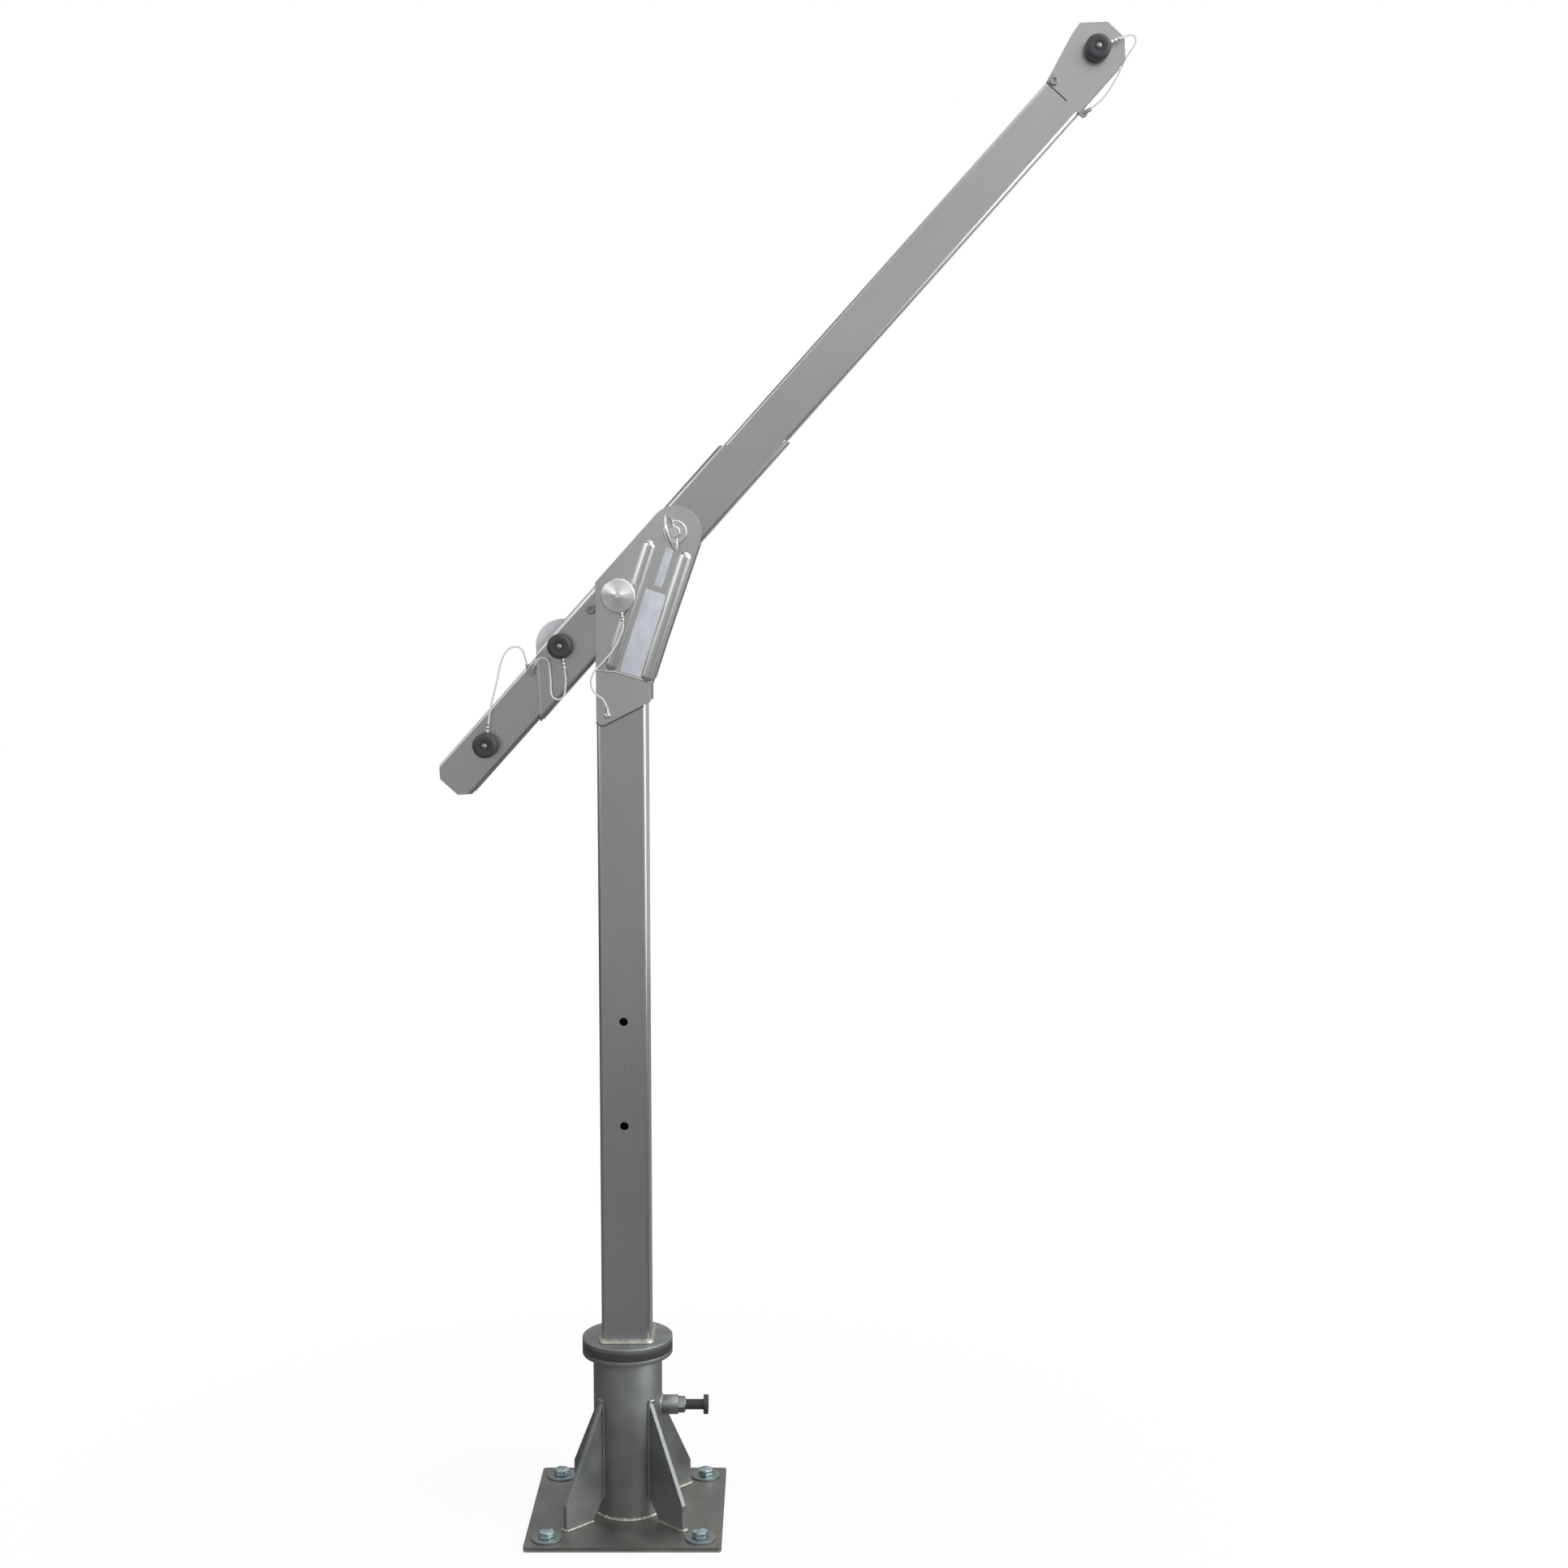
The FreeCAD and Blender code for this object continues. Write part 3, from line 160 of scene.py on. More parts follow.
# Their lanyards: length, distance across at the ferrule, end of the straight lead from the pin's axis,
# route, the eye along and above the boom, and the turn of the crimp at the eye with its distance across
TIP_EYE = (915, -41)
TAIL_EYE = (-322, 24)
LANYARDS = {
    "tip": (153.7, -44, 48, TIP_ROUTE, TIP_EYE, -15, -27.5),
    "tail": (171.6, -44, 58, TAIL_ROUTE, TAIL_EYE, 66, -38),
    "sheave": (151.6, -49, 52, SHEAVE_ROUTE, TAIL_EYE, 10, -38),
}
BOOM_CRIMP_END = 14      # from the eye
LOCK_LANYARD = 164.3
LOCK_LEAD = 10           # straight part of the lock pin's lanyard, from its ferrule
LOCK_EYE = (-22, -72)    # along X and above the mast's top
LOCK_CRIMP_FOOT = (8, 4)     # off the cheek and above the eye
lock_turn = math.radians(-80)    # of the ferrule in the lock pin's head
lock_out = Vector((math.cos(lock_turn), 0, math.sin(lock_turn)))

# Welds: finish, body, width in weld legs and depth of the ripples
WELDS = {
    "socket_foot_weld": ("weld", "base", 1.4, 0.4),
    "socket_neck_weld": ("weld", "base", 1.0, 0.25),
    "mast_foot_weld": ("weld", "mast", 2.0, 0.12),
    "gusset_welds": ("weld", "base", 1.0, 0.25),
    "gusset_seams": ("pickled", "base", 0.7, 0.05),
    "boss_weld": ("weld", "base", 0.7, 0.25),
    # The cheek welds take the darker pickled finish, which paints the shadow under each cheek's lower edge.
    "cheek_welds": ("pickled", "mast", 1.0, 0.1),
    "cheek_creases": ("head", "mast", 1.0, 0.0),
}
WELD_STAND = 0.2         # distance of a weld's middle from the corner it fills, in legs

# Softboxes: name, place, aim, size in metres and power in watts
SOFTBOXES = (
    ("left_softbox", (-2.8, -2.8, 3.8), (0, 0, 1.5), 2.6, 30),
    ("right_softbox", (3.4, -2.0, 3.9), (0.5, 0, 1.9), 3.4, 100),
    ("window_softbox", (4.4, -1.8, 1.6), (0, 0, 1.0), 3.0, 34),
    ("top_softbox", (0.4, 0.3, 4.8), (0.2, 0, 1.2), 3.4, 40),
)
# Cards and mats: name, corner, side, second side, and the glow at the second side's start and end
mat_edge = plate_half + 2 * MM
CARDS = (
    ("front_card", (-7, -6.5, 0), (14, 0, 0), (0, 0, 6), 0.38, 0.87),
    ("back_left_card", (-7, 5, 0), (6.9, 0, 0), (0, 0, 6), 0.25, 0.6),
    ("back_right_card", (-0.1, 5, 0), (7.1, 0, 0), (0, 0, 6), 0.55, 0.55),
    ("left_card", (-4, -6.5, 0), (0, 11.5, 0), (0, 0, 2.2), 0.08, 0.25),
    ("ceiling_card", (-5, -4, 6), (6, 0, 0), (0, 8, 0), 0.2, 0.2),
    ("front_mat", (-7, -mat_edge, MM), (14, 0, 0), (0, mat_edge - 6.5, 0), 0.2, 0.36),
    ("left_mat", (-mat_edge, -mat_edge, MM), (0, mat_edge + 5, 0), (mat_edge - 7, 0, 0), 0.15, 0.15),
    ("back_mat", (-mat_edge, mat_edge, MM), (mat_edge + 7, 0, 0), (0, 5 - mat_edge, 0), 0.25, 0.3),
    ("right_mat", (mat_edge, -mat_edge, MM), (0, 2 * mat_edge, 0), (6.8, 0, 0), 0.12, 0.55),
)

CAMERA_LENS = 51.02      # millimetres
CAMERA_SENSOR = 36.0
CAMERA_PLACE = (0.261, -3.6, 1.584)
CAMERA_DIP = 0.0985      # radians below level


def linear(hex_colour):
    """Linear colour with alpha of an sRGB hex value."""
    channels = [int(hex_colour[place:place + 2], 16) / 255 for place in (1, 3, 5)]
    return tuple(c / 12.92 if c <= 0.04045 else ((c + 0.055) / 1.055) ** 2.4 for c in channels) + (1.0,)


def length_property(name, description, millimetres):
    """Length that a user may change."""
    return bpy.props.FloatProperty(name=name, description=description, default=millimetres * MM,
                                   unit="LENGTH")


def colour_property(name, description, hex_colour):
    """Colour that a user may change."""
    return bpy.props.FloatVectorProperty(name=name, description=description, default=linear(hex_colour),
                                         size=4, min=0.0, max=1.0, subtype="COLOR")


class DavitSizes(bpy.types.PropertyGroup):
    """Sizes of the pieces that are not in the frame."""

    edge_break: length_property("Edge break", "Rounding of the cut steel edges", 0.8)
    weld_leg: length_property("Weld leg", "Width of the fillet welds on the base", 6.0)
    fine_weld_leg: length_property("Fine weld leg", "Width of the fillet welds on head and boom", 3.5)
    weld_pitch: length_property("Weld pitch", "Distance between two ripples of a weld", 3.6)
    bolt_flats: length_property("Bolt flats", "Width across the flats of an anchor bolt's head", 24.0)
    bolt_head: length_property("Bolt head", "Height of an anchor bolt's head", 10.0)
    bolt_diameter: length_property("Bolt diameter", "Shank diameter of an anchor bolt", 16.0)
    washer_diameter: length_property("Washer diameter", "Outside diameter of an anchor washer", 50.0)
    washer_thickness: length_property("Washer thickness", "Thickness of an anchor washer", 3.0)
    rope_diameter: length_property("Rope diameter", "Diameter of the coated lanyards", 3.0)
    plate_width: length_property("Rating plate width", "Width of the large bare plate on the head", 35.0)
    plate_length: length_property("Rating plate length", "Length of the large bare plate on the head", 138.0)
    strip_width: length_property("Strip width", "Width of the small bare plate on the head", 13.0)
    strip_length: length_property("Strip length", "Length of the small bare plate on the head", 64.0)


class DavitColours(bpy.types.PropertyGroup):
    """Colours of the finishes."""

    satin: colour_property("Satin stainless", "Mast and boom", "#bdbdbd")
    sheet: colour_property("Sheet stainless", "Pressed cheeks of the head", "#cecece")
    plate: colour_property("Rolled stainless", "Base plate", "#8f8d8a")
    pickled: colour_property("Pickled stainless", "Socket, gussets and flanges", "#9b9f9e")
    turned: colour_property("Turned stainless", "Pins, bushes and spacers", "#d2d2d2")
    # Lighter than the turned stainless, with the same marks: a painted sheen on these small parts.
    bright: colour_property("Bright stainless", "Pivot pin, pull ring and the lock pin's eye", "#e4e4e2")
    faced: colour_property("Faced stainless", "Head of the lock pin", "#ebebeb")
    weld: colour_property("Weld metal", "Fillet welds", "#bfbdb3")
    zinc: colour_property("Bright zinc", "Anchor bolts", "#c4d8de")
    dull_zinc: colour_property("Dull zinc", "Anchor washers", "#98a2a2")
    black: colour_property("Black polymer", "Knobs, grip and bearing ring", "#3a393e")
    sheave: colour_property("Cast nylon", "Sheaves and roller", "#e9e5ec")
    bronze: colour_property("Bronze", "Sheave bushes", "#9c7a45")
    ferrule: colour_property("Pressed aluminium", "Ferrules of the lanyards", "#cfd1d2")
    rope: colour_property("Coated rope", "Lanyards", "#e2e2df")
    plate_white: colour_property("Plate lacquer", "Bare plates on the head", "#ced3da")


def on_boom(along, rise, across):
    """Point at millimetres along, above and across the boom from the pivot."""
    return pivot + (boom_along * along + boom_rise * rise + ACROSS * across) * MM


def boom_direction(degrees):
    """Direction in the boom's plane, turned from its length towards its upper side."""
    turn = math.radians(degrees)
    return boom_along * math.cos(turn) + boom_rise * math.sin(turn)


def on_head(x, z, across):
    """Point at millimetres along X and above the mast's top, and at metres across."""
    return Vector((x * MM, across, mast_top + z * MM))


def lock_crimp_point(height):
    """Point at millimetres up the crimp at the lock pin's eye."""
    off_cheek, above_eye = LOCK_CRIMP_FOOT
    return on_head(*LOCK_EYE, -cheek_face) + (UP * (above_eye + height) - ACROSS * off_cheek) * MM


def middle(node):
    """Centre of a CAD node."""
    low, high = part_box(node)
    return (low + high) / 2


def add_node(tree, kind, settings=None, inputs=None):
    """Node with its settings, and with its inputs set to values or linked to other nodes' outputs."""
    node = tree.nodes.new(kind)
    for name, value in (settings or {}).items():
        setattr(node, name, value)
    for name, value in (inputs or {}).items():
        if isinstance(value, bpy.types.NodeSocket):
            tree.links.new(value, node.inputs[name])
        else:
            node.inputs[name].default_value = value
    return node


METAL = {"Metallic": 1.0}
POLYMER = {"IOR": 1.5}


def new_finish(name):
    """Empty material and its node tree."""
    finish = bpy.data.materials.new(name)
    finish.use_nodes = True
    finish.node_tree.nodes.clear()
    return finish, finish.node_tree


def grain_noise(tree, size, turn=0.0, detail=3.0):
    """Noise on the object's own coordinates, with grains of millimetres along a turned X axis, Y and Z."""
    coordinates = add_node(tree, "ShaderNodeTexCoord")
    mapping = add_node(tree, "ShaderNodeMapping", {"vector_type": "TEXTURE"}, {
        "Vector": coordinates.outputs["Object"],
        "Rotation": (0, turn, 0),
        "Scale": tuple(side * MM for side in size),
    })
    return add_node(tree, "ShaderNodeTexNoise", None, {
        "Vector": mapping.outputs["Vector"],
        "Scale": 1.0,
        "Detail": detail,
    }).outputs["Fac"]


def surface(finish, colour, spread, inputs, relief=None):
    """Finish with its shader. Patterns spread its tint and roughness over ranges, and one may raise it."""
    tree = finish.node_tree
    sockets = {}
    # A pattern's values lie mostly between 0.3 and 0.7.
    for use, (pattern, low, high) in spread.items():
        sockets[use] = add_node(tree, "ShaderNodeMapRange", None, {
            "Value": pattern,
            "From Min": 0.3,
            "From Max": 0.7,
            "To Min": low,
            "To Max": high,
        }).outputs["Result"]
    tint = add_node(tree, "ShaderNodeVectorMath", {"operation": "SCALE"},
                    {"Vector": colour[:3], "Scale": sockets.pop("Tint")})
    if relief:
        pattern, strength, depth = relief
        bump = add_node(tree, "ShaderNodeBump", None,
                        {"Strength": strength, "Distance": depth * MM, "Height": pattern})
        sockets["Normal"] = bump.outputs["Normal"]
    shader = add_node(tree, "ShaderNodeBsdfPrincipled", None,
                      {"Base Color": tint.outputs["Vector"], **sockets, **inputs})
    add_node(tree, "ShaderNodeOutputMaterial", None, {"Surface": shader.outputs["BSDF"]})
    return finish


def grained_finish(name, colour, grain, tint, roughness, inputs, relief=None, turn=0.0):
    """Finish with one grain, which its tint, its roughness and any relief follow."""
    finish, tree = new_finish(name)
    pattern = grain_noise(tree, grain, turn)
    spread = {"Tint": (pattern, *tint), "Roughness": (pattern, *roughness)}
    return surface(finish, colour, spread, inputs, relief and (pattern, *relief))


def satin_stainless(name, colour, turn, relief):
    """Finish with a long fine grain and wide soft clouds."""
    finish, tree = new_finish(name)
    # Real grain is about 0.3 mm wide. It is drawn 1.2 mm wide and 90 mm long, so that it shows.
    grain = grain_noise(tree, (90, 1.2, 1.2), turn)
    clouds = grain_noise(tree, (300, 120, 120), turn, detail=2.0)
    spread = {"Tint": (clouds, 0.93, 1.06), "Roughness": (grain, 0.26, 0.31)}
    return surface(finish, colour, spread, METAL, (grain, relief, 0.2))


def rolled_stainless(name, colour):
    """Finish with a fine uneven skin and wide clouds."""
    finish, tree = new_finish(name)
    skin = grain_noise(tree, (4, 4, 4))
    clouds = grain_noise(tree, (60, 60, 60), detail=4.0)
    spread = {"Tint": (clouds, 0.88, 1.1), "Roughness": (clouds, 0.42, 0.56)}
    return surface(finish, colour, spread, METAL, (skin, 0.2, 0.3))


def faced_stainless(name, colour):
    """Finish with rings that follow the map of a turned face."""
    finish, tree = new_finish(name)
    ring_map = add_node(tree, "ShaderNodeUVMap", {"uv_map": "turning"})
    # The tool's feed is about 0.2 mm. The rings are drawn 0.9 mm apart, so that they show.
    stretch = add_node(tree, "ShaderNodeMapping", {"vector_type": "TEXTURE"},
                       {"Vector": ring_map.outputs["UV"], "Scale": (400.0, 0.9 * MM, 1.0)})
    rings = add_node(tree, "ShaderNodeTexNoise", {"noise_dimensions": "2D"},
                     {"Vector": stretch.outputs["Vector"], "Scale": 1.0, "Detail": 2.0}).outputs["Fac"]
    tangent = add_node(tree, "ShaderNodeTangent", {"direction_type": "UV_MAP", "uv_map": "turning"})
    spread = {"Tint": (rings, 0.88, 1.08), "Roughness": (rings, 0.24, 0.36)}
    return surface(finish, colour, spread, {
        **METAL,
        "Anisotropic": 0.9,
        "Anisotropic Rotation": 0.25,
        "Tangent": tangent.outputs["Tangent"],
    })


def coated_rope(name, colour):
    """Finish with slanting strands that follow the map of a tube."""
    finish, tree = new_finish(name)
    tube_map = add_node(tree, "ShaderNodeUVMap", {"uv_map": "UVMap"})
    # The map goes once along the rope and once round it. There are six strands round it and 60 along it,
    # one in about 2.6 mm, and they cross the map at a slant.
    lay = add_node(tree, "ShaderNodeMapping", None, {
        "Vector": tube_map.outputs["UV"],
        "Rotation": (0, 0, math.radians(40)),
        "Scale": (60.0, 6.0, 1.0),
    })
    strands = add_node(tree, "ShaderNodeTexWave", {"wave_type": "BANDS"},
                       {"Vector": lay.outputs["Vector"], "Scale": 1.0, "Distortion": 0.4}).outputs["Fac"]
    return surface(finish, colour, {"Tint": (strands, 0.9, 1.04)}, {"Roughness": 0.32, "IOR": 1.53},
                   (strands, 0.2, 0.2))


LATHE_MARKS = ((6, 0.8, 6), (0.92, 1.04), (0.18, 0.32), METAL)
MOULD_RELIEF = (0.25, 0.2)
# Finishes: maker, name of the real material, colour, and what the maker needs. For a grained finish that is
# the grain in millimetres, the ranges of its tint and roughness, other inputs, and any relief and turn.
FINISHES = {
    # Stainless brushed along its length, then glass-bead blasted: an even grey sheen with a faint grain
    "mast": (satin_stainless, "satin_stainless_mast", "satin", -QUARTER_TURN, 0.025),
    "boom": (satin_stainless, "satin_stainless_boom", "satin", -boom_angle, 0.025),
    "head": (satin_stainless, "pressed_stainless_sheet", "sheet", -QUARTER_TURN, 0.015),
    # Hot-rolled and pickled stainless: dull, slightly brown on the plate, with a fine cloudy skin
    "base": (rolled_stainless, "rolled_stainless_plate", "plate"),
    "pickled": (rolled_stainless, "pickled_stainless", "pickled"),
    # Stainless bar from the lathe or drawn bright: smooth, with fine marks that vary its gloss. The bright
    # copy differs only by a lighter colour, which paints a sheen on the pivot pin's head, the pull ring and
    # the lock pin's eye.
    "turned": (grained_finish, "turned_stainless", "turned", *LATHE_MARKS),
    "bright": (grained_finish, "bright_drawn_stainless", "bright", *LATHE_MARKS),
    # Pin head faced on the lathe: rings round its centre that stretch each highlight into two fans
    "faced": (faced_stainless, "faced_stainless", "faced"),
    # Cleaned TIG weld: bright rippled metal with a pale straw tint left by the heat
    "weld": (grained_finish, "cleaned_weld_metal", "weld", (8, 8, 8), (0.8, 1.15), (0.3, 0.5), METAL),
    # Blue-passivated zinc, glossy on the bolts and dull on the washers: cool and slightly uneven
    "zinc": (grained_finish, "bright_zinc", "zinc", (5, 5, 5), (0.85, 1.08), (0.14, 0.28), METAL),
    "dull_zinc": (grained_finish, "dull_zinc", "dull_zinc", (5, 5, 5), (0.85, 1.08), (0.36, 0.5), METAL),
    # Pressed aluminium: pale grey and slightly uneven
    "ferrule": (grained_finish, "pressed_aluminium", "ferrule", (5, 5, 5), (0.85, 1.08), (0.36, 0.5), METAL),
    # Moulded black polymer and cast nylon: dull, with the fine texture of the mould or the cutter
    "black": (grained_finish, "moulded_black_polymer", "black", (0.6, 0.6, 0.6), (0.9, 1.1), (0.4, 0.52),
              POLYMER, MOULD_RELIEF),
    "nylon": (grained_finish, "cast_nylon", "sheave", (1.2, 1.2, 1.2), (0.9, 1.1), (0.36, 0.48),
              POLYMER, MOULD_RELIEF),
    # Sintered bronze: matt, warm and faintly porous
    "bronze": (grained_finish, "sintered_bronze", "bronze", (1, 1, 1), (0.8, 1.1), (0.35, 0.5), METAL),
    # Wire rope in a clear vinyl coat: pale and glossy, with the strands faintly showing through
    "rope": (coated_rope, "clear_coated_wire_rope", "rope"),
    # Aluminium plate with a pale satin lacquer: a soft sheen and a few rubbed patches
    "lacquer": (grained_finish, "lacquered_aluminium_plate", "plate_white", (30, 12, 12), (0.9, 1.05),
                (0.4, 0.5), {"Metallic": 0.1}, None, math.radians(-72)),
}


def crane_finish(key):
    """Finish of the crane by its key, made once."""
    maker, name, colour, *settings = FINISHES[key]
    colours = bpy.context.scene.davit_colours
    return bpy.data.materials.get(name) or maker(name, getattr(colours, colour), *settings)


def dress(nodes, finish_key, edge_break=0.0, whole_flats=True):
    """Finish on CAD nodes, with their cut edges softened after flat faces with holes are made whole."""
    for node in nodes:
        solid = frame["nodes"][node]
        solid.data.materials.clear()
        solid.data.materials.append(crane_finish(finish_key))
        if edge_break:
            seams = solid.modifiers.new("close_seams", "WELD")
            seams.merge_threshold = MERGE_DISTANCE
            if whole_flats:
                flats = solid.modifiers.new("whole_flats", "DECIMATE")
                flats.decimate_type = "DISSOLVE"
                flats.angle_limit = math.radians(0.2)
            rounding = solid.modifiers.new("edge_break", "BEVEL")
            rounding.width = edge_break
            rounding.segments = 2
            rounding.limit_method = "ANGLE"
            rounding.angle_limit = math.radians(40)


def piece(name, mesh, finish_key, body, slot, *nodes):
    """Object from a mesh at its place, riding on a body and standing for CAD nodes."""
    mesh.name = name
    mesh.materials.clear()
    mesh.materials.append(crane_finish(finish_key))
    mesh.shade_smooth()
    mesh.set_sharp_from_angle(angle=math.radians(35))
    made = bpy.data.objects.new(name, mesh)
    bpy.context.scene.collection.objects.link(made)
    if body:
        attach(made, body)
    if nodes:
        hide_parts(*nodes)
    return made


def finished_mesh(shape):
    """Mesh from a bmesh, with its doubles merged and its faces turned outwards."""
    bmesh.ops.remove_doubles(shape, verts=shape.verts, dist=MERGE_DISTANCE)
    bmesh.ops.recalc_face_normals(shape, faces=shape.faces)
    mesh = bpy.data.meshes.new("piece")
    shape.to_mesh(mesh)
    shape.free()
    return mesh


def lathe(shape, profile, centre, axis, steps=64, closed=False):
    """Turned form from (radius, reach) points in millimetres, spun about an axis through a centre."""
    side = axis.orthogonal().normalized()
    points = [shape.verts.new(centre + (side * radius + axis * reach) * MM) for radius, reach in profile]
    ends = points[1:] + points[:1] if closed else points[1:]
    edges = [shape.edges.new(pair) for pair in zip(points, ends)]
    bmesh.ops.spin(shape, geom=points + edges, cent=centre, axis=axis, angle=FULL_TURN, steps=steps,
                   use_merge=True)
    bmesh.ops.remove_doubles(shape, verts=shape.verts, dist=MERGE_DISTANCE)


def round_edges(shape, edges, width, segments):
    """Bevel edges to a round of a width in metres."""
    bmesh.ops.bevel(shape, geom=edges, offset=width, offset_type="OFFSET", segments=segments, profile=0.5,
                    affect="EDGES", clamp_overlap=True, material=-1)


def break_edges(shape, width, segments=2):
    """Round the edges at which the faces turn by more than 30 degrees."""
    sharp = math.radians(30)
    edges = [edge for edge in shape.edges if edge.is_manifold and edge.calc_face_angle() > sharp]
    round_edges(shape, edges, width, segments)


def turned_mesh(profile, centre, axis, edge_break=0.0, steps=64):
    """Mesh of one turned piece with rounded edges."""
    shape = bmesh.new()
    lathe(shape, profile, centre, axis, steps)
    bmesh.ops.recalc_face_normals(shape, faces=shape.faces)
    if edge_break:
        break_edges(shape, edge_break * MM, 3)
    return finished_mesh(shape)


def crimp_profile(length, outer=3.0, waist=2.4):
    """Profile of a ferrule pressed in two bands."""
    share = length / 9
    points = [(0, 0), (outer, 0)]
    for start in (2, 5):
        points += [(outer, start * share), (waist, (start + 0.5) * share), (waist, (start + 1.5) * share),
                   (outer, (start + 2) * share)]
    return points + [(outer, length), (0, length)]


def pressed_ferrule(name, body, start, direction, length):
    """Ferrule pressed on a lanyard where it leaves the rim of its pin's head."""
    start.y = middle(name + "_ferrule").y
    mesh = turned_mesh(crimp_profile(length), start, direction, edge_break=0.3, steps=CRIMP_STEPS)
    piece(name + "_crimp", mesh, "ferrule", body, "turned_steel", name + "_ferrule")


def add_spline(curve, kind, points):
    """Open spline on points."""
    spline = curve.splines.new(kind)
    spline.points.add(len(points) - 1)
    for knot, point in zip(spline.points, points):
        knot.co = (*point, 1.0)
    return spline


def weld_bead(name, runs, leg):
    """Rippled weld metal along runs of points, in one piece. A run that ends where it starts is closed."""
    finish_key, body, width, ripple = WELDS[name]
    curve = bpy.data.curves.new(name, "CURVE")
    curve.dimensions = "3D"
    curve.bevel_depth = width * leg / 2
    curve.bevel_resolution = 2
    curve.use_fill_caps = True
    for run in runs:
        closed = (run[0] - run[-1]).length < MERGE_DISTANCE
        spline = add_spline(curve, "POLY", run[:-1] if closed else run)
        spline.use_cyclic_u = closed
        # A short and a long wave make the ripples uneven.
        for index, knot in enumerate(spline.points):
            knot.radius = 1 - ripple * (0.5 + 0.3 * math.sin(2.4 * index) + 0.2 * math.sin(0.7 * index))
    mesh = bpy.data.meshes.new_from_object(bpy.data.objects.new(name, curve))
    piece(name, mesh, finish_key, body, "stainless")


def line_run(start, end, pitch):
    """Points of a straight weld, two for each ripple."""
    count = 2 * max(2, round((end - start).length / pitch))
    return [start.lerp(end, index / count) for index in range(count + 1)]


def ring_turns(radius, pitch):
    """Angles of the points of a round weld, two for each ripple."""
    count = 2 * round(FULL_TURN * radius / pitch)
    return [FULL_TURN * index / count for index in range(count + 1)]


def ring_run(centre, radius, pitch):
    """Points of a weld round a vertical tube."""
    turns = ring_turns(radius, pitch)
    return [centre + Vector((math.cos(turn), math.sin(turn), 0)) * radius for turn in turns]


def square_run(half, corner, level, pitch):
    """Points of a weld round a square tube with round corners."""
    corner_steps = 4
    points = []
    for quarter in range(4):
        turn = quarter * QUARTER_TURN
        centre = Matrix.Rotation(turn, 3, "Z") @ Vector((half - corner, half - corner, 0))
        for step in range(corner_steps + 1):
            angle = turn + QUARTER_TURN * step / corner_steps
            points.append(centre + Vector((math.cos(angle), math.sin(angle), 0)) * corner + UP * level)
    points.append(points[0].copy())
    run = [points[0]]
    for start, end in zip(points, points[1:]):
        run += line_run(start, end, pitch)[1:] if (end - start).length > 2 * pitch else [end]
    return run


class DAVIT_OT_steelwork(bpy.types.Operator):
    """Finish the plates, tubes and fittings that the frame already has"""

    bl_idname = "davit.steelwork"
    bl_label = "Steelwork"

    def execute(self, context):
        edge = context.scene.davit_sizes.edge_break
        dress(["mast_tube", "mast_cap"], "mast", edge)
        dress(["cheek_front", "cheek_back"], "head", edge)
        dress(["boom_tube", "boom_sleeve", "tip_cheek_front", "tip_cheek_back"], "boom", edge)
        dress(["base_plate"], "base", edge, whole_flats=False)
        dress(["gussets", "socket_tube", "socket_flange"], "pickled", edge)
        dress(["mast_flange", "plunger_boss"], "pickled", edge, whole_flats=False)
        dress(["plunger_housing", "keeper_bolts", "tip_eye", "tail_eye"], "pickled", edge / 2)
        dress(["mast_spigot", "spigot_collar", "sheave_spacers", "pivot_bush", "lock_bush", "plunger_pin",
               "pivot_circlip"], "turned", edge / 2)
        # The lighter bright finish paints a sheen on the pivot pin's head.
        dress(["pivot_pin"], "bright", edge / 2)
        dress(["bearing_ring", "lower_bush", "pivot_washers"], "black", edge, whole_flats=False)
        dress(["tip_sheave", "tail_sheave", "tail_roller"], "nylon", edge, whole_flats=False)
        dress(["tip_sheave_bush", "tail_sheave_bush"], "bronze")
        return {"FINISHED"}


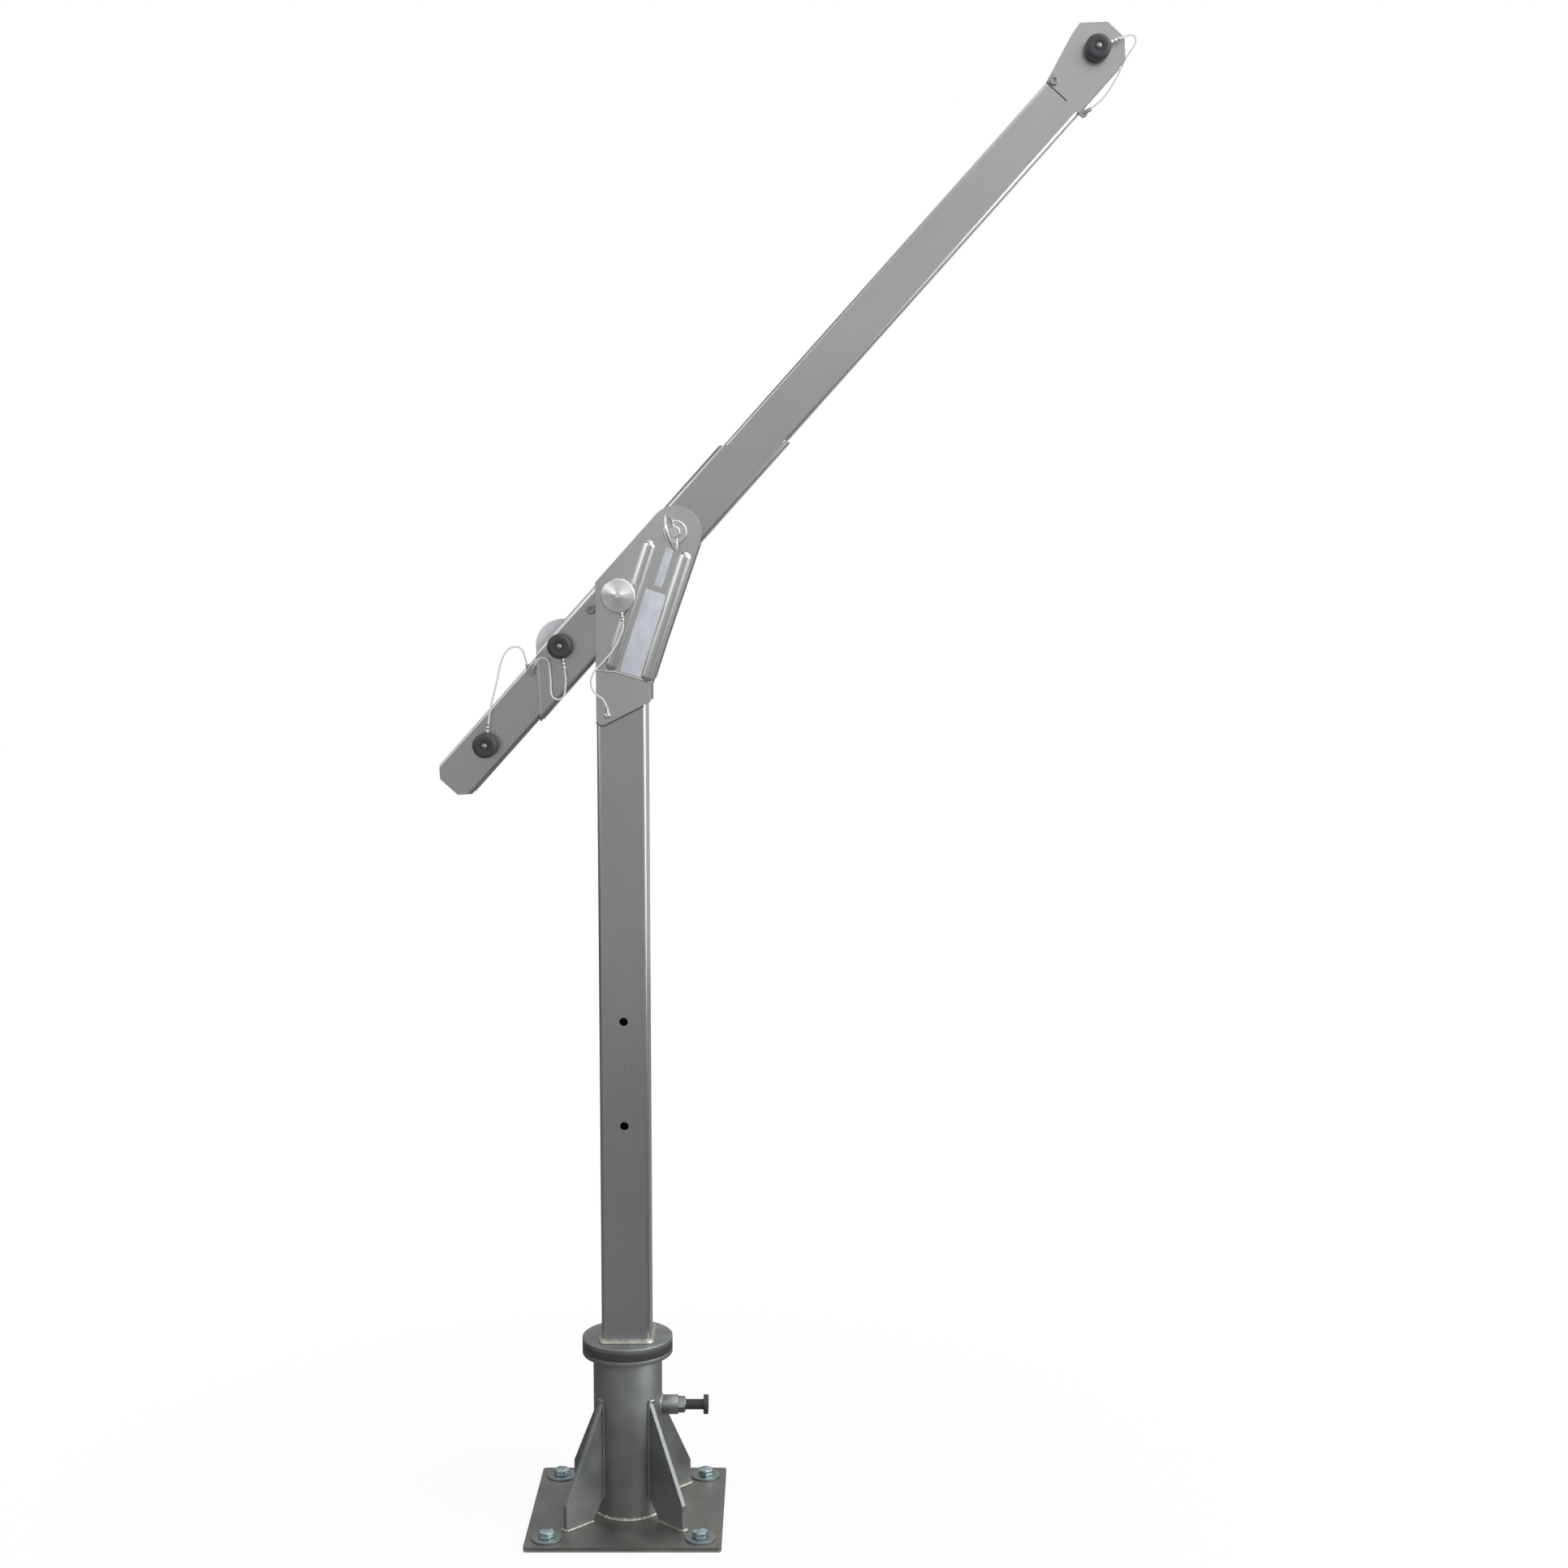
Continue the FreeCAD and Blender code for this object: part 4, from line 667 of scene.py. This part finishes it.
class DAVIT_OT_welds(bpy.types.Operator):
    """Lay the welds and ground seams on base, mast, head and boom"""

    bl_idname = "davit.welds"
    bl_label = "Welds"

    def execute(self, context):
        sizes = context.scene.davit_sizes
        leg = sizes.weld_leg
        pitch = sizes.weld_pitch
        stand = WELD_STAND * leg
        foot = ring_run(UP * (plate_top + stand), socket_radius + stand, pitch)
        weld_bead("socket_foot_weld", [foot], leg)
        neck = ring_run(UP * (socket_top - stand), socket_radius + stand, pitch)
        weld_bead("socket_neck_weld", [neck], leg)
        mast_run = square_run(mast_half + stand, MAST_CORNER * MM + stand, mast_foot + stand, pitch)
        weld_bead("mast_foot_weld", [mast_run], leg)
        self.gusset_welds(leg, stand, pitch)
        self.boss_weld(leg, stand, pitch)
        self.head_seams(sizes.fine_weld_leg, pitch)
        self.boom_seams(sizes.fine_weld_leg)
        return {"FINISHED"}

    def head_seams(self, leg, pitch):
        """Weld under the lower edge of each cheek, in the darker pickled finish that paints the shadow the
        cheek casts on the mast, and the crease where the sheet leaves the mast.
        """
        heel_x, heel_z, heel_radius = -30, -77.7, 11
        heel_turns = [math.radians(angle) for angle in range(205, 297, 10)]
        heel = [(heel_x + heel_radius * math.cos(turn), heel_z + heel_radius * math.sin(turn))
                for turn in heel_turns]
        weld_end = (36, -56.6)
        crease = ((-38.5, -0.5), (-8, -2.5), (45.5, -19))
        crease_width = 4 * MM
        crease_depth = 1.3 * MM
        welds, creases = [], []
        for hand in (-1, 1):
            side = hand * (mast_half + WELD_STAND * leg)
            run = [on_head(x, z, side) for x, z in heel]
            welds.append(run + line_run(run[-1], on_head(*weld_end, side), pitch)[1:])
            creases.append([on_head(x, z, hand * (cheek_face - crease_depth)) for x, z in crease])
        # The welds under the cheeks carry the painted shadow of the cheeks' lower edges.
        weld_bead("cheek_welds", welds, leg)
        weld_bead("cheek_creases", creases, crease_width)

    def boom_seams(self, width):
        """Ground seams at the sleeve's tail end and the tip fork's joint, and the strip behind its slit. The
        sleeve's seams take the lighter sheet finish, a painted highlight along the sleeve's end.
        """
        along_boom = Matrix.Rotation(-boom_angle, 4, "Y")
        # Name, finish, place along, above and across the boom, slant, and width, thickness and length
        strips = (
            # Lighter sheet finish on the sleeve's seams: a painted highlight along the sleeve's end.
            ("sleeve_seams", "head", (-328.5, 0, 34.7), 45, (width / MM, 1, 90)),
            ("tip_joints", "boom", (910, -20, 29.52), 0, (7, 1, 23)),
            ("tip_backing", "pickled", (911, 12, 24.4), 0, (14, 1, 44)),
        )
        for name, finish_key, (along, rise, across), slant, size in strips:
            turn = along_boom @ Matrix.Rotation(math.radians(slant), 4, "Y")
            stretch = Matrix.Diagonal((*(side * MM for side in size), 1.0))
            shape = bmesh.new()
            for hand in (-1, 1):
                place = Matrix.Translation(on_boom(along, rise, hand * across))
                bmesh.ops.create_cube(shape, size=1.0, matrix=place @ turn @ stretch)
            piece(name, finished_mesh(shape), finish_key, "boom", "stainless")

    def gusset_welds(self, leg, stand, pitch):
        """Both sides of each gusset, along the plate and up the socket, and across its two ends."""
        gusset_end = 138 * MM
        half_gusset = 4 * MM
        relief_out = socket_radius + 25 * MM
        relief_up = plate_top + 35 * MM
        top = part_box("gussets")[1].z
        foot = plate_top + stand
        wall = socket_radius + stand
        side = half_gusset + stand
        runs, seams = [], []
        for index in range(4):
            turn = Matrix.Rotation((index + 0.5) * QUARTER_TURN, 3, "Z")
            for hand in (-side, side):
                runs.append(((relief_out, hand, foot), (gusset_end, hand, foot), turn))
                seams.append(((wall, hand, relief_up), (wall, hand, top), turn))
            for distance, level in ((gusset_end + stand, foot), (wall, top + stand)):
                runs.append(((distance, -side, level), (distance, side, level), turn))
        for name, lines in (("gusset_welds", runs), ("gusset_seams", seams)):
            weld_bead(name, [[turn @ point for point in line_run(Vector(start), Vector(end), pitch)]
                             for start, end, turn in lines], leg)

    def boss_weld(self, leg, stand, pitch):
        """Saddle-shaped weld of the plunger's boss on the socket."""
        low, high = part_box("plunger_boss")
        radius = (high.z - low.z) / 2 + stand
        level = (high.z + low.z) / 2
        run = []
        for turn in ring_turns(radius, pitch):
            y = radius * math.cos(turn)
            run.append(Vector((math.sqrt(socket_radius ** 2 - y ** 2), y, level + radius * math.sin(turn))))
        weld_bead("boss_weld", [run], leg)


class DAVIT_OT_anchor_bolts(bpy.types.Operator):
    """Set a hexagon bolt on a wide washer in each hole of the base plate"""

    bl_idname = "davit.anchor_bolts"
    bl_label = "Anchor bolts"

    def execute(self, context):
        sizes = context.scene.davit_sizes
        holes = next(mount for mount in frame["record"]["mounts"] if mount["name"] == "anchor_holes")["dims"]
        half = holes["spacing_x_mm"] / 2 * MM
        inner = holes["hole_r_mm"]
        outer = sizes.washer_diameter / 2 / MM
        thick = sizes.washer_thickness / MM
        ring = [(inner, 0), (outer, 0), (outer, thick), (inner, thick)]
        seat = plate_top + sizes.washer_thickness
        corner = sizes.bolt_flats / math.sqrt(3)
        corners = ((-half, -half), (half, -half), (half, half), (-half, half))
        head_turns = (17, 40, 63, 86)
        washers = bmesh.new()
        bolts = bmesh.new()
        for (x, y), head_turn in zip(corners, head_turns):
            lathe(washers, ring, Vector((x, y, plate_top)), UP, steps=48, closed=True)
            head = Matrix.Translation((x, y, seat)) @ Matrix.Rotation(math.radians(head_turn), 4, "Z")
            self.prism(bolts, 6, corner, head, sizes.bolt_head)
            self.prism(bolts, 32, sizes.bolt_diameter / 2, Matrix.Translation((x, y, 0)), seat)
        for name, shape, finish_key, edge_break in (("anchor_washers", washers, "dull_zinc", 0.5),
                                                    ("anchor_bolts", bolts, "zinc", 1.4)):
            bmesh.ops.recalc_face_normals(shape, faces=shape.faces)
            break_edges(shape, edge_break * MM)
            piece(name, finished_mesh(shape), finish_key, "base", "turned_steel")
        return {"FINISHED"}

    def prism(self, shape, sides, radius, place, height):
        """Upright prism on a regular outline."""
        made = bmesh.ops.create_circle(shape, cap_ends=True, segments=sides, radius=radius, matrix=place)
        faces = list({face for vert in made["verts"] for face in vert.link_faces})
        raised = bmesh.ops.extrude_face_region(shape, geom=faces)["geom"]
        bmesh.ops.translate(shape, verts=[item for item in raised if isinstance(item, bmesh.types.BMVert)],
                            vec=UP * height)


class DAVIT_OT_plunger_grip(bpy.types.Operator):
    """Mould the plunger's grip with its end disc, and make a merged copy of its spring"""

    bl_idname = "davit.plunger_grip"
    bl_label = "Plunger grip and spring"

    def execute(self, context):
        self.grip()
        self.spring()
        return {"FINISHED"}

    def grip(self):
        """Stem with a dished disc at its end."""
        stem, disc_thickness = 8.5, 8
        low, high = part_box("plunger_knob")
        length = (high.x - low.x) / MM
        rim = (high.z - low.z) / 2 / MM
        disc = length - disc_thickness
        profile = [(0, 0), (stem, 0), (stem, disc), (rim, disc), (rim, length),
                   (rim - 4, length), (rim - 5, length - 1), (0, length - 1)]
        centre = Vector((low.x, 0, (low.z + high.z) / 2))
        mesh = turned_mesh(profile, centre, ALONG, edge_break=0.8, steps=48)
        piece("plunger_grip", mesh, "black", "plunger", "black_polymer", "plunger_knob")

    def spring(self):
        """Merged copy of the coil, riding on the base."""
        shape = bmesh.new()
        shape.from_mesh(frame["nodes"]["plunger_spring"].data)
        coil = piece("plunger_spring_wire", finished_mesh(shape), "turned", "base", "turned_steel",
                     "plunger_spring")
        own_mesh(coil)


class DAVIT_OT_head_fittings(bpy.types.Operator):
    """Turn the lock pin and its eye and bend the pull ring at the head"""

    bl_idname = "davit.head_fittings"
    bl_label = "Lock pin and pull ring"

    def execute(self, context):
        self.lock_pin()
        low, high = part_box("lock_pin")
        lock_rim = middle("lock_pin") + lock_out * (high.x - low.x) / 2
        pressed_ferrule("lock", "lock", lock_rim, lock_out, LOCK_FERRULE_LENGTH)
        self.lock_eye()
        self.pull_ring()
        return {"FINISHED"}

    def lock_pin(self):
        """Shaft and faced head with a shallow cone and a centre mark."""
        shaft, head_depth = 8, 12
        low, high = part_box("lock_pin")
        centre = Vector(((low.x + high.x) / 2, high.y, (low.z + high.z) / 2))
        reach = (high.y - low.y) / MM
        rim = (high.x - low.x) / 2 / MM
        back = reach - head_depth
        profile = [(0, 0), (shaft - 1.5, 0), (shaft, 1.5), (shaft, back), (rim - 1.5, back),
                   (rim, back + 1.5), (rim, back + 6.5), (rim - 1.2, back + 8), (6, reach - 0.6),
                   (4.5, reach), (1.4, reach), (0, reach - 1.4)]
        shape = bmesh.new()
        lathe(shape, profile, centre, -ACROSS, steps=96)
        # The map that the turned rings follow goes round the pin and outwards from its axis.
        turning = shape.loops.layers.uv.new("turning")
        for face in shape.faces:
            angles = []
            for loop in face.loops:
                offset = loop.vert.co - centre
                angle = math.atan2(offset.z, offset.x)
                if angles and abs(angle - angles[0]) > math.pi:
                    angle += math.copysign(FULL_TURN, angles[0])
                angles.append(angle)
                loop[turning].uv = (angle, math.hypot(offset.x, offset.z) + offset.y)
        piece("lock_pin_turned", finished_mesh(shape), "faced", "lock", "turned_steel", "lock_pin")

    def lock_eye(self):
        """Screwed eye on the cheek: a flanged stud, a rope thimble round it and the lanyard's crimp."""
        stud = [(0, 0), (4.6, 0), (4.6, 1.2), (2.2, 2.0), (2.2, 9.4), (3.6, 9.6), (3.2, 10.6), (1.6, 11),
                (0, 11)]
        radius, height, wire, sides = 3.5, 6.2, 1.5, 12
        turns = [FULL_TURN * step / sides for step in range(sides)]
        thimble = [(radius + wire * math.cos(turn), height + wire * math.sin(turn)) for turn in turns]
        centre = on_head(*LOCK_EYE, -cheek_face)
        shape = bmesh.new()
        lathe(shape, stud, centre, -ACROSS, steps=32)
        lathe(shape, thimble, centre, -ACROSS, steps=32, closed=True)
        lathe(shape, crimp_profile(EYE_CRIMP_LENGTH), lock_crimp_point(0), UP, CRIMP_STEPS)
        piece("lock_eye_turned", finished_mesh(shape), "bright", "mast", "turned_steel", "lock_eye")

    def pull_ring(self):
        """Split ring of two turns that hangs in the pivot pin's stub, swung a little to one side."""
        ring_radius, wire = 28.5 * MM, 1.3 * MM
        turns, steps, wire_sides = 2, 160, 12
        swing = math.radians(-10)
        hinge = Vector(joints["ring_swing"]["axis"])
        axis = Matrix.Rotation(swing, 3, hinge) @ hinge.cross(ACROSS).normalized()
        side = axis.orthogonal().normalized()
        centre = middle("pull_ring")
        facing = axis.cross(side).to_track_quat("Z", "Y").to_matrix().to_4x4()
        place = Matrix.Translation(centre + side * ring_radius - axis * wire) @ facing
        shape = bmesh.new()
        bmesh.ops.create_circle(shape, cap_ends=True, segments=wire_sides, radius=wire, matrix=place)
        bmesh.ops.spin(shape, geom=shape.verts[:] + shape.edges[:] + shape.faces[:], cent=centre, axis=axis,
                       dvec=axis * (2 * wire / steps), angle=turns * FULL_TURN, steps=steps)
        piece("pull_ring_wire", finished_mesh(shape), "bright", "ring", "turned_steel", "pull_ring")


class DAVIT_OT_quick_pins(bpy.types.Operator):
    """Mould the knobs and turn the buttons, pins and ferrules of the three quick-release pins"""

    bl_idname = "davit.quick_pins"
    bl_label = "Quick-release pins"

    def execute(self, context):
        for name, (axis_joint, ferrule_turn) in QUICK_PINS.items():
            x, _, z = joints[axis_joint]["pos_m"]
            self.knob(name, x, z)
            self.button(name, x, z)
            self.pin(name, x, z)
            way = boom_direction(ferrule_turn)
            knob_rim = Vector((x, 0, z)) + way * KNOB_RADIUS * MM
            pressed_ferrule(name, name + "_release", knob_rim, way, FERRULE_LENGTH)
        return {"FINISHED"}

    def knob(self, name, x, z):
        """Round knob with a waisted back and a dished face."""
        low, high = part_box(name + "_knob")
        length = (high.y - low.y) / MM
        profile = [(0, 0), (15, 0), (17, 1.2), (KNOB_RADIUS, 5), (KNOB_RADIUS, length - 6),
                   (18.6, length - 2.4), (15, length), (8.5, length), (7.6, length - 1.4), (0, length - 1.4)]
        mesh = turned_mesh(profile, Vector((x, high.y, z)), -ACROSS, edge_break=1.0)
        piece(name + "_knob_moulded", mesh, "black", name + "_release", "black_polymer", name + "_knob")

    def button(self, name, x, z):
        """Button with a domed end in the knob's face."""
        low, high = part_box(name + "_button")
        reach = (high.y - low.y) / MM
        profile = [(0, 0), (4, 0), (4, reach - 1.4), (3.2, reach - 0.5), (1.8, reach - 0.1), (0, reach)]
        mesh = turned_mesh(profile, Vector((x, high.y, z)), -ACROSS, steps=32)
        piece(name + "_button_domed", mesh, "pickled", name + "_push", "turned_steel", name + "_button")

    def pin(self, name, x, z):
        """Shaft with a groove and a tapered nose."""
        shaft, groove = 6, 5.4
        low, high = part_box(name + "_pin")
        length = (high.y - low.y) / MM
        profile = [(0, 0), (shaft, 0), (shaft, length - 7), (groove, length - 6.4), (groove, length - 5.6),
                   (shaft, length - 5), (shaft, length - 2), (4.4, length), (0, length)]
        mesh = turned_mesh(profile, Vector((x, low.y, z)), ACROSS, steps=48)
        piece(name + "_pin_turned", mesh, "turned", name + "_release", "turned_steel", name + "_pin")


class DAVIT_OT_lanyards(bpy.types.Operator):
    """Hang the four coated lanyards between the pins and their eyes"""

    bl_idname = "davit.lanyards"
    bl_label = "Lanyards"

    def execute(self, context):
        diameter = context.scene.davit_sizes.rope_diameter
        for name, (length, across, lead_end, route, eye, crimp_turn, crimp_across) in LANYARDS.items():
            axis_joint, ferrule_turn = QUICK_PINS[name]
            axis = Vector(joints[axis_joint]["pos_m"])
            points = [axis + (boom_direction(ferrule_turn) * reach + ACROSS * across) * MM
                      for reach in (KNOB_RADIUS + FERRULE_LENGTH, lead_end)]
            points += [on_boom(*point) for point in route]
            points.append(on_boom(*eye, crimp_across) + boom_direction(crimp_turn) * BOOM_CRIMP_END * MM)
            self.lanyard(name + "_lanyard", "boom", name + "_release", length, diameter, points)

        start = middle("lock_pin") + lock_out * LOCK_FERRULE_END * MM
        start.y = middle("lock_ferrule").y
        points = [start, start + lock_out * LOCK_LEAD * MM]
        points += [on_head(x, z, y * MM) for x, z, y in LOCK_ROUTE]
        points.append(lock_crimp_point(EYE_CRIMP_LENGTH))
        self.lanyard("lock_lanyard", "mast", "lock", LOCK_LANYARD, diameter, points)
        return {"FINISHED"}

    def lanyard(self, node, holder, pin, length, diameter, points):
        """Tube along a smooth route from the pin's ferrule to the holder's eye."""
        curve = bpy.data.curves.new(node, "CURVE")
        curve.dimensions = "3D"
        spline = add_spline(curve, "NURBS", points)
        spline.order_u = 3
        spline.use_endpoint_u = True
        spline.resolution_u = 12
        route = bpy.data.objects.new(node + "_route", curve)
        path = [vertex.co.copy() for vertex in bpy.data.meshes.new_from_object(route).vertices]
        curve.bevel_depth = diameter / 2
        curve.bevel_resolution = 3
        curve.use_fill_caps = True
        tube = bpy.data.meshes.new_from_object(route)
        rope = piece(node + "_rope", tube, "rope", None, "coated_rope", node)
        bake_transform(rope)


class DAVIT_OT_plates(bpy.types.Operator):
    """Fix the two bare plates between the beads of the head"""

    bl_idname = "davit.plates"
    bl_label = "Bare plates"

    def execute(self, context):
        sizes = context.scene.davit_sizes
        self.plate("rating_plate", sizes.plate_width, sizes.plate_length, drop=168.5)
        self.plate("name_strip", sizes.strip_width, sizes.strip_length, drop=58.7)
        return {"FINISHED"}

    def plate(self, name, width, length, drop):
        """Thin plate with round corners, at millimetres below the pivot along the beads."""
        bead_tilt = math.radians(18)
        thickness, corner, edge_break = 0.8 * MM, 1.5 * MM, 0.15 * MM
        centre = pivot - Vector((math.sin(bead_tilt), 0, math.cos(bead_tilt))) * drop * MM
        centre.y = -cheek_face - thickness / 2
        place = Matrix.Translation(centre) @ Matrix.Rotation(bead_tilt, 4, "Y")
        shape = bmesh.new()
        stretch = Matrix.Diagonal((width, thickness, length, 1.0))
        bmesh.ops.create_cube(shape, size=1.0, matrix=place @ stretch)
        ways = {edge: (edge.verts[0].co - edge.verts[1].co).normalized() for edge in shape.edges}
        round_edges(shape, [edge for edge, way in ways.items() if abs(way.dot(ACROSS)) > 0.9], corner, 4)
        break_edges(shape, edge_break)
        piece(name, finished_mesh(shape), "lacquer", "mast", "turned_steel")


class DAVIT_OT_stage(bpy.types.Operator):
    """Set up the pale floor, the soft studio light and the camera"""

    bl_idname = "davit.stage"
    bl_label = "Stage"

    def execute(self, context):
        scene = context.scene
        scene.view_settings.view_transform = "Standard"
        self.floor()
        # The steel reflects the cards and mats, and the camera doesn't see them.
        for card in CARDS:
            self.card(*card)
        self.world(scene)
        for softbox in SOFTBOXES:
            self.softbox(*softbox)
        self.camera(scene)
        return {"FINISHED"}

    def camera(self, scene):
        """Camera that the crane was measured through."""
        data = bpy.data.cameras.new("photo_camera")
        data.lens = CAMERA_LENS
        data.sensor_width = CAMERA_SENSOR
        camera = bpy.data.objects.new("photo_camera", data)
        camera.location = CAMERA_PLACE
        camera.rotation_euler = (QUARTER_TURN - CAMERA_DIP, 0, 0)
        scene.collection.objects.link(camera)
        scene.camera = camera

    def seen_rays(self, tree):
        """One for what the camera sees, directly, mirrored or through glass, and nothing for other rays."""
        path = add_node(tree, "ShaderNodeLightPath")
        mirrored = add_node(tree, "ShaderNodeMath", {"operation": "MAXIMUM"},
                            {0: path.outputs["Is Camera Ray"], 1: path.outputs["Is Glossy Ray"]})
        seen = add_node(tree, "ShaderNodeMath", {"operation": "MAXIMUM"},
                        {0: mirrored.outputs["Value"], 1: path.outputs["Is Transmission Ray"]})
        return seen.outputs["Value"]

    def floor(self):
        """Pale floor that looks white and keeps a soft shadow."""
        radius, drop = 30, 0.5 * MM
        finish, tree = new_finish("pale_floor")
        paint = add_node(tree, "ShaderNodeBsdfDiffuse", None, {"Color": linear("#f4f4f4")})
        white = add_node(tree, "ShaderNodeEmission", None, {"Color": (1, 1, 1, 1), "Strength": 1.0})
        place = add_node(tree, "ShaderNodeTexCoord")
        distance = add_node(tree, "ShaderNodeVectorMath", {"operation": "LENGTH"},
                            {0: place.outputs["Object"]})
        # The floor takes the object's shadow near the base and fades into the world's white further out.
        fade = add_node(tree, "ShaderNodeMapRange", None, {
            "Value": distance.outputs["Value"],
            "From Min": 0.3,
            "From Max": 1.1,
            "To Min": 0.93,
            "To Max": 1.0,
        })
        share = add_node(tree, "ShaderNodeMath", {"operation": "MULTIPLY"},
                         {0: self.seen_rays(tree), 1: fade.outputs["Result"]})
        mixed = add_node(tree, "ShaderNodeMixShader", None, {
            "Fac": share.outputs["Value"],
            1: paint.outputs["BSDF"],
            2: white.outputs["Emission"],
        })
        add_node(tree, "ShaderNodeOutputMaterial", None, {"Surface": mixed.outputs["Shader"]})
        shape = bmesh.new()
        bmesh.ops.create_circle(shape, cap_ends=True, segments=96, radius=radius,
                                matrix=Matrix.Translation(-UP * drop))
        self.stage_piece("floor", shape, finish)

    def card(self, name, corner, side, rise, low, high):
        """Card between a corner and two sides, whose glow grows along the second."""
        corner, side, rise = Vector(corner), Vector(side), Vector(rise)
        finish, tree = new_finish(name)
        place = add_node(tree, "ShaderNodeVectorMath", {"operation": "SUBTRACT"},
                         {0: add_node(tree, "ShaderNodeTexCoord").outputs["Object"], 1: corner})
        share = add_node(tree, "ShaderNodeVectorMath", {"operation": "DOT_PRODUCT"},
                         {0: place.outputs["Vector"], 1: rise / rise.length_squared})
        level = add_node(tree, "ShaderNodeMapRange", None,
                         {"Value": share.outputs["Value"], "To Min": low, "To Max": high})
        glow = add_node(tree, "ShaderNodeEmission", None, {"Strength": level.outputs["Result"]})
        add_node(tree, "ShaderNodeOutputMaterial", None, {"Surface": glow.outputs["Emission"]})
        shape = bmesh.new()
        outline = (corner, corner + side, corner + side + rise, corner + rise)
        shape.faces.new([shape.verts.new(point) for point in outline])
        panel = self.stage_piece(name, shape, finish)
        panel.visible_camera = False
        panel.visible_diffuse = False
        panel.visible_shadow = False

    def stage_piece(self, name, shape, finish):
        """Piece of the stage from a bmesh, left out of the crane."""
        mesh = bpy.data.meshes.new(name)
        shape.to_mesh(mesh)
        shape.free()
        mesh.materials.append(finish)
        made = bpy.data.objects.new(name, mesh)
        bpy.context.scene.collection.objects.link(made)
        return made

    def world(self, scene):
        """White all round for what is seen, and an even light for the rest."""
        world = bpy.data.worlds.new("studio")
        world.use_nodes = True
        tree = world.node_tree
        tree.nodes.clear()
        level = add_node(tree, "ShaderNodeMapRange", None,
                         {"Value": self.seen_rays(tree), "To Min": 0.4, "To Max": 1.0})
        light = add_node(tree, "ShaderNodeBackground", None,
                         {"Color": (1, 1, 1, 1), "Strength": level.outputs["Result"]})
        add_node(tree, "ShaderNodeOutputWorld", None, {"Surface": light.outputs["Background"]})
        scene.world = world

    def softbox(self, name, place, aim, size, power):
        """Square soft lamp aimed at a point."""
        data = bpy.data.lights.new(name, "AREA")
        data.size = size
        data.energy = power
        lamp = bpy.data.objects.new(name, data)
        lamp.location = place
        lamp.rotation_euler = (Vector(aim) - Vector(place)).to_track_quat("-Z", "Y").to_euler()
        bpy.context.scene.collection.objects.link(lamp)


OPERATORS = (
    DAVIT_OT_steelwork,
    DAVIT_OT_welds,
    DAVIT_OT_anchor_bolts,
    DAVIT_OT_plunger_grip,
    DAVIT_OT_head_fittings,
    DAVIT_OT_quick_pins,
    DAVIT_OT_lanyards,
    DAVIT_OT_plates,
    DAVIT_OT_stage,
)


class DAVIT_PT_panel(bpy.types.Panel):
    """Lists the steps that dress the crane, with its sizes and colours"""

    bl_label = "Davit crane"
    bl_idname = "DAVIT_PT_panel"
    bl_space_type = "VIEW_3D"
    bl_region_type = "UI"
    bl_category = "Davit"

    def draw(self, context):
        for operator in OPERATORS:
            self.layout.operator(operator.bl_idname)
        for group in (context.scene.davit_sizes, context.scene.davit_colours):
            for name in group.__annotations__:
                self.layout.prop(group, name)


CLASSES = (DavitSizes, DavitColours, *OPERATORS, DAVIT_PT_panel)


def register():
    for item in CLASSES:
        bpy.utils.register_class(item)
    bpy.types.Scene.davit_sizes = bpy.props.PointerProperty(type=DavitSizes)
    bpy.types.Scene.davit_colours = bpy.props.PointerProperty(type=DavitColours)


def unregister():
    del bpy.types.Scene.davit_colours
    del bpy.types.Scene.davit_sizes
    for item in reversed(CLASSES):
        bpy.utils.unregister_class(item)


def main():
    register()
    bpy.ops.davit.steelwork()
    bpy.ops.davit.welds()
    bpy.ops.davit.anchor_bolts()
    bpy.ops.davit.plunger_grip()
    bpy.ops.davit.head_fittings()
    bpy.ops.davit.quick_pins()
    bpy.ops.davit.lanyards()
    bpy.ops.davit.plates()
    bpy.ops.davit.stage()


if __name__ == "__main__":
    main()
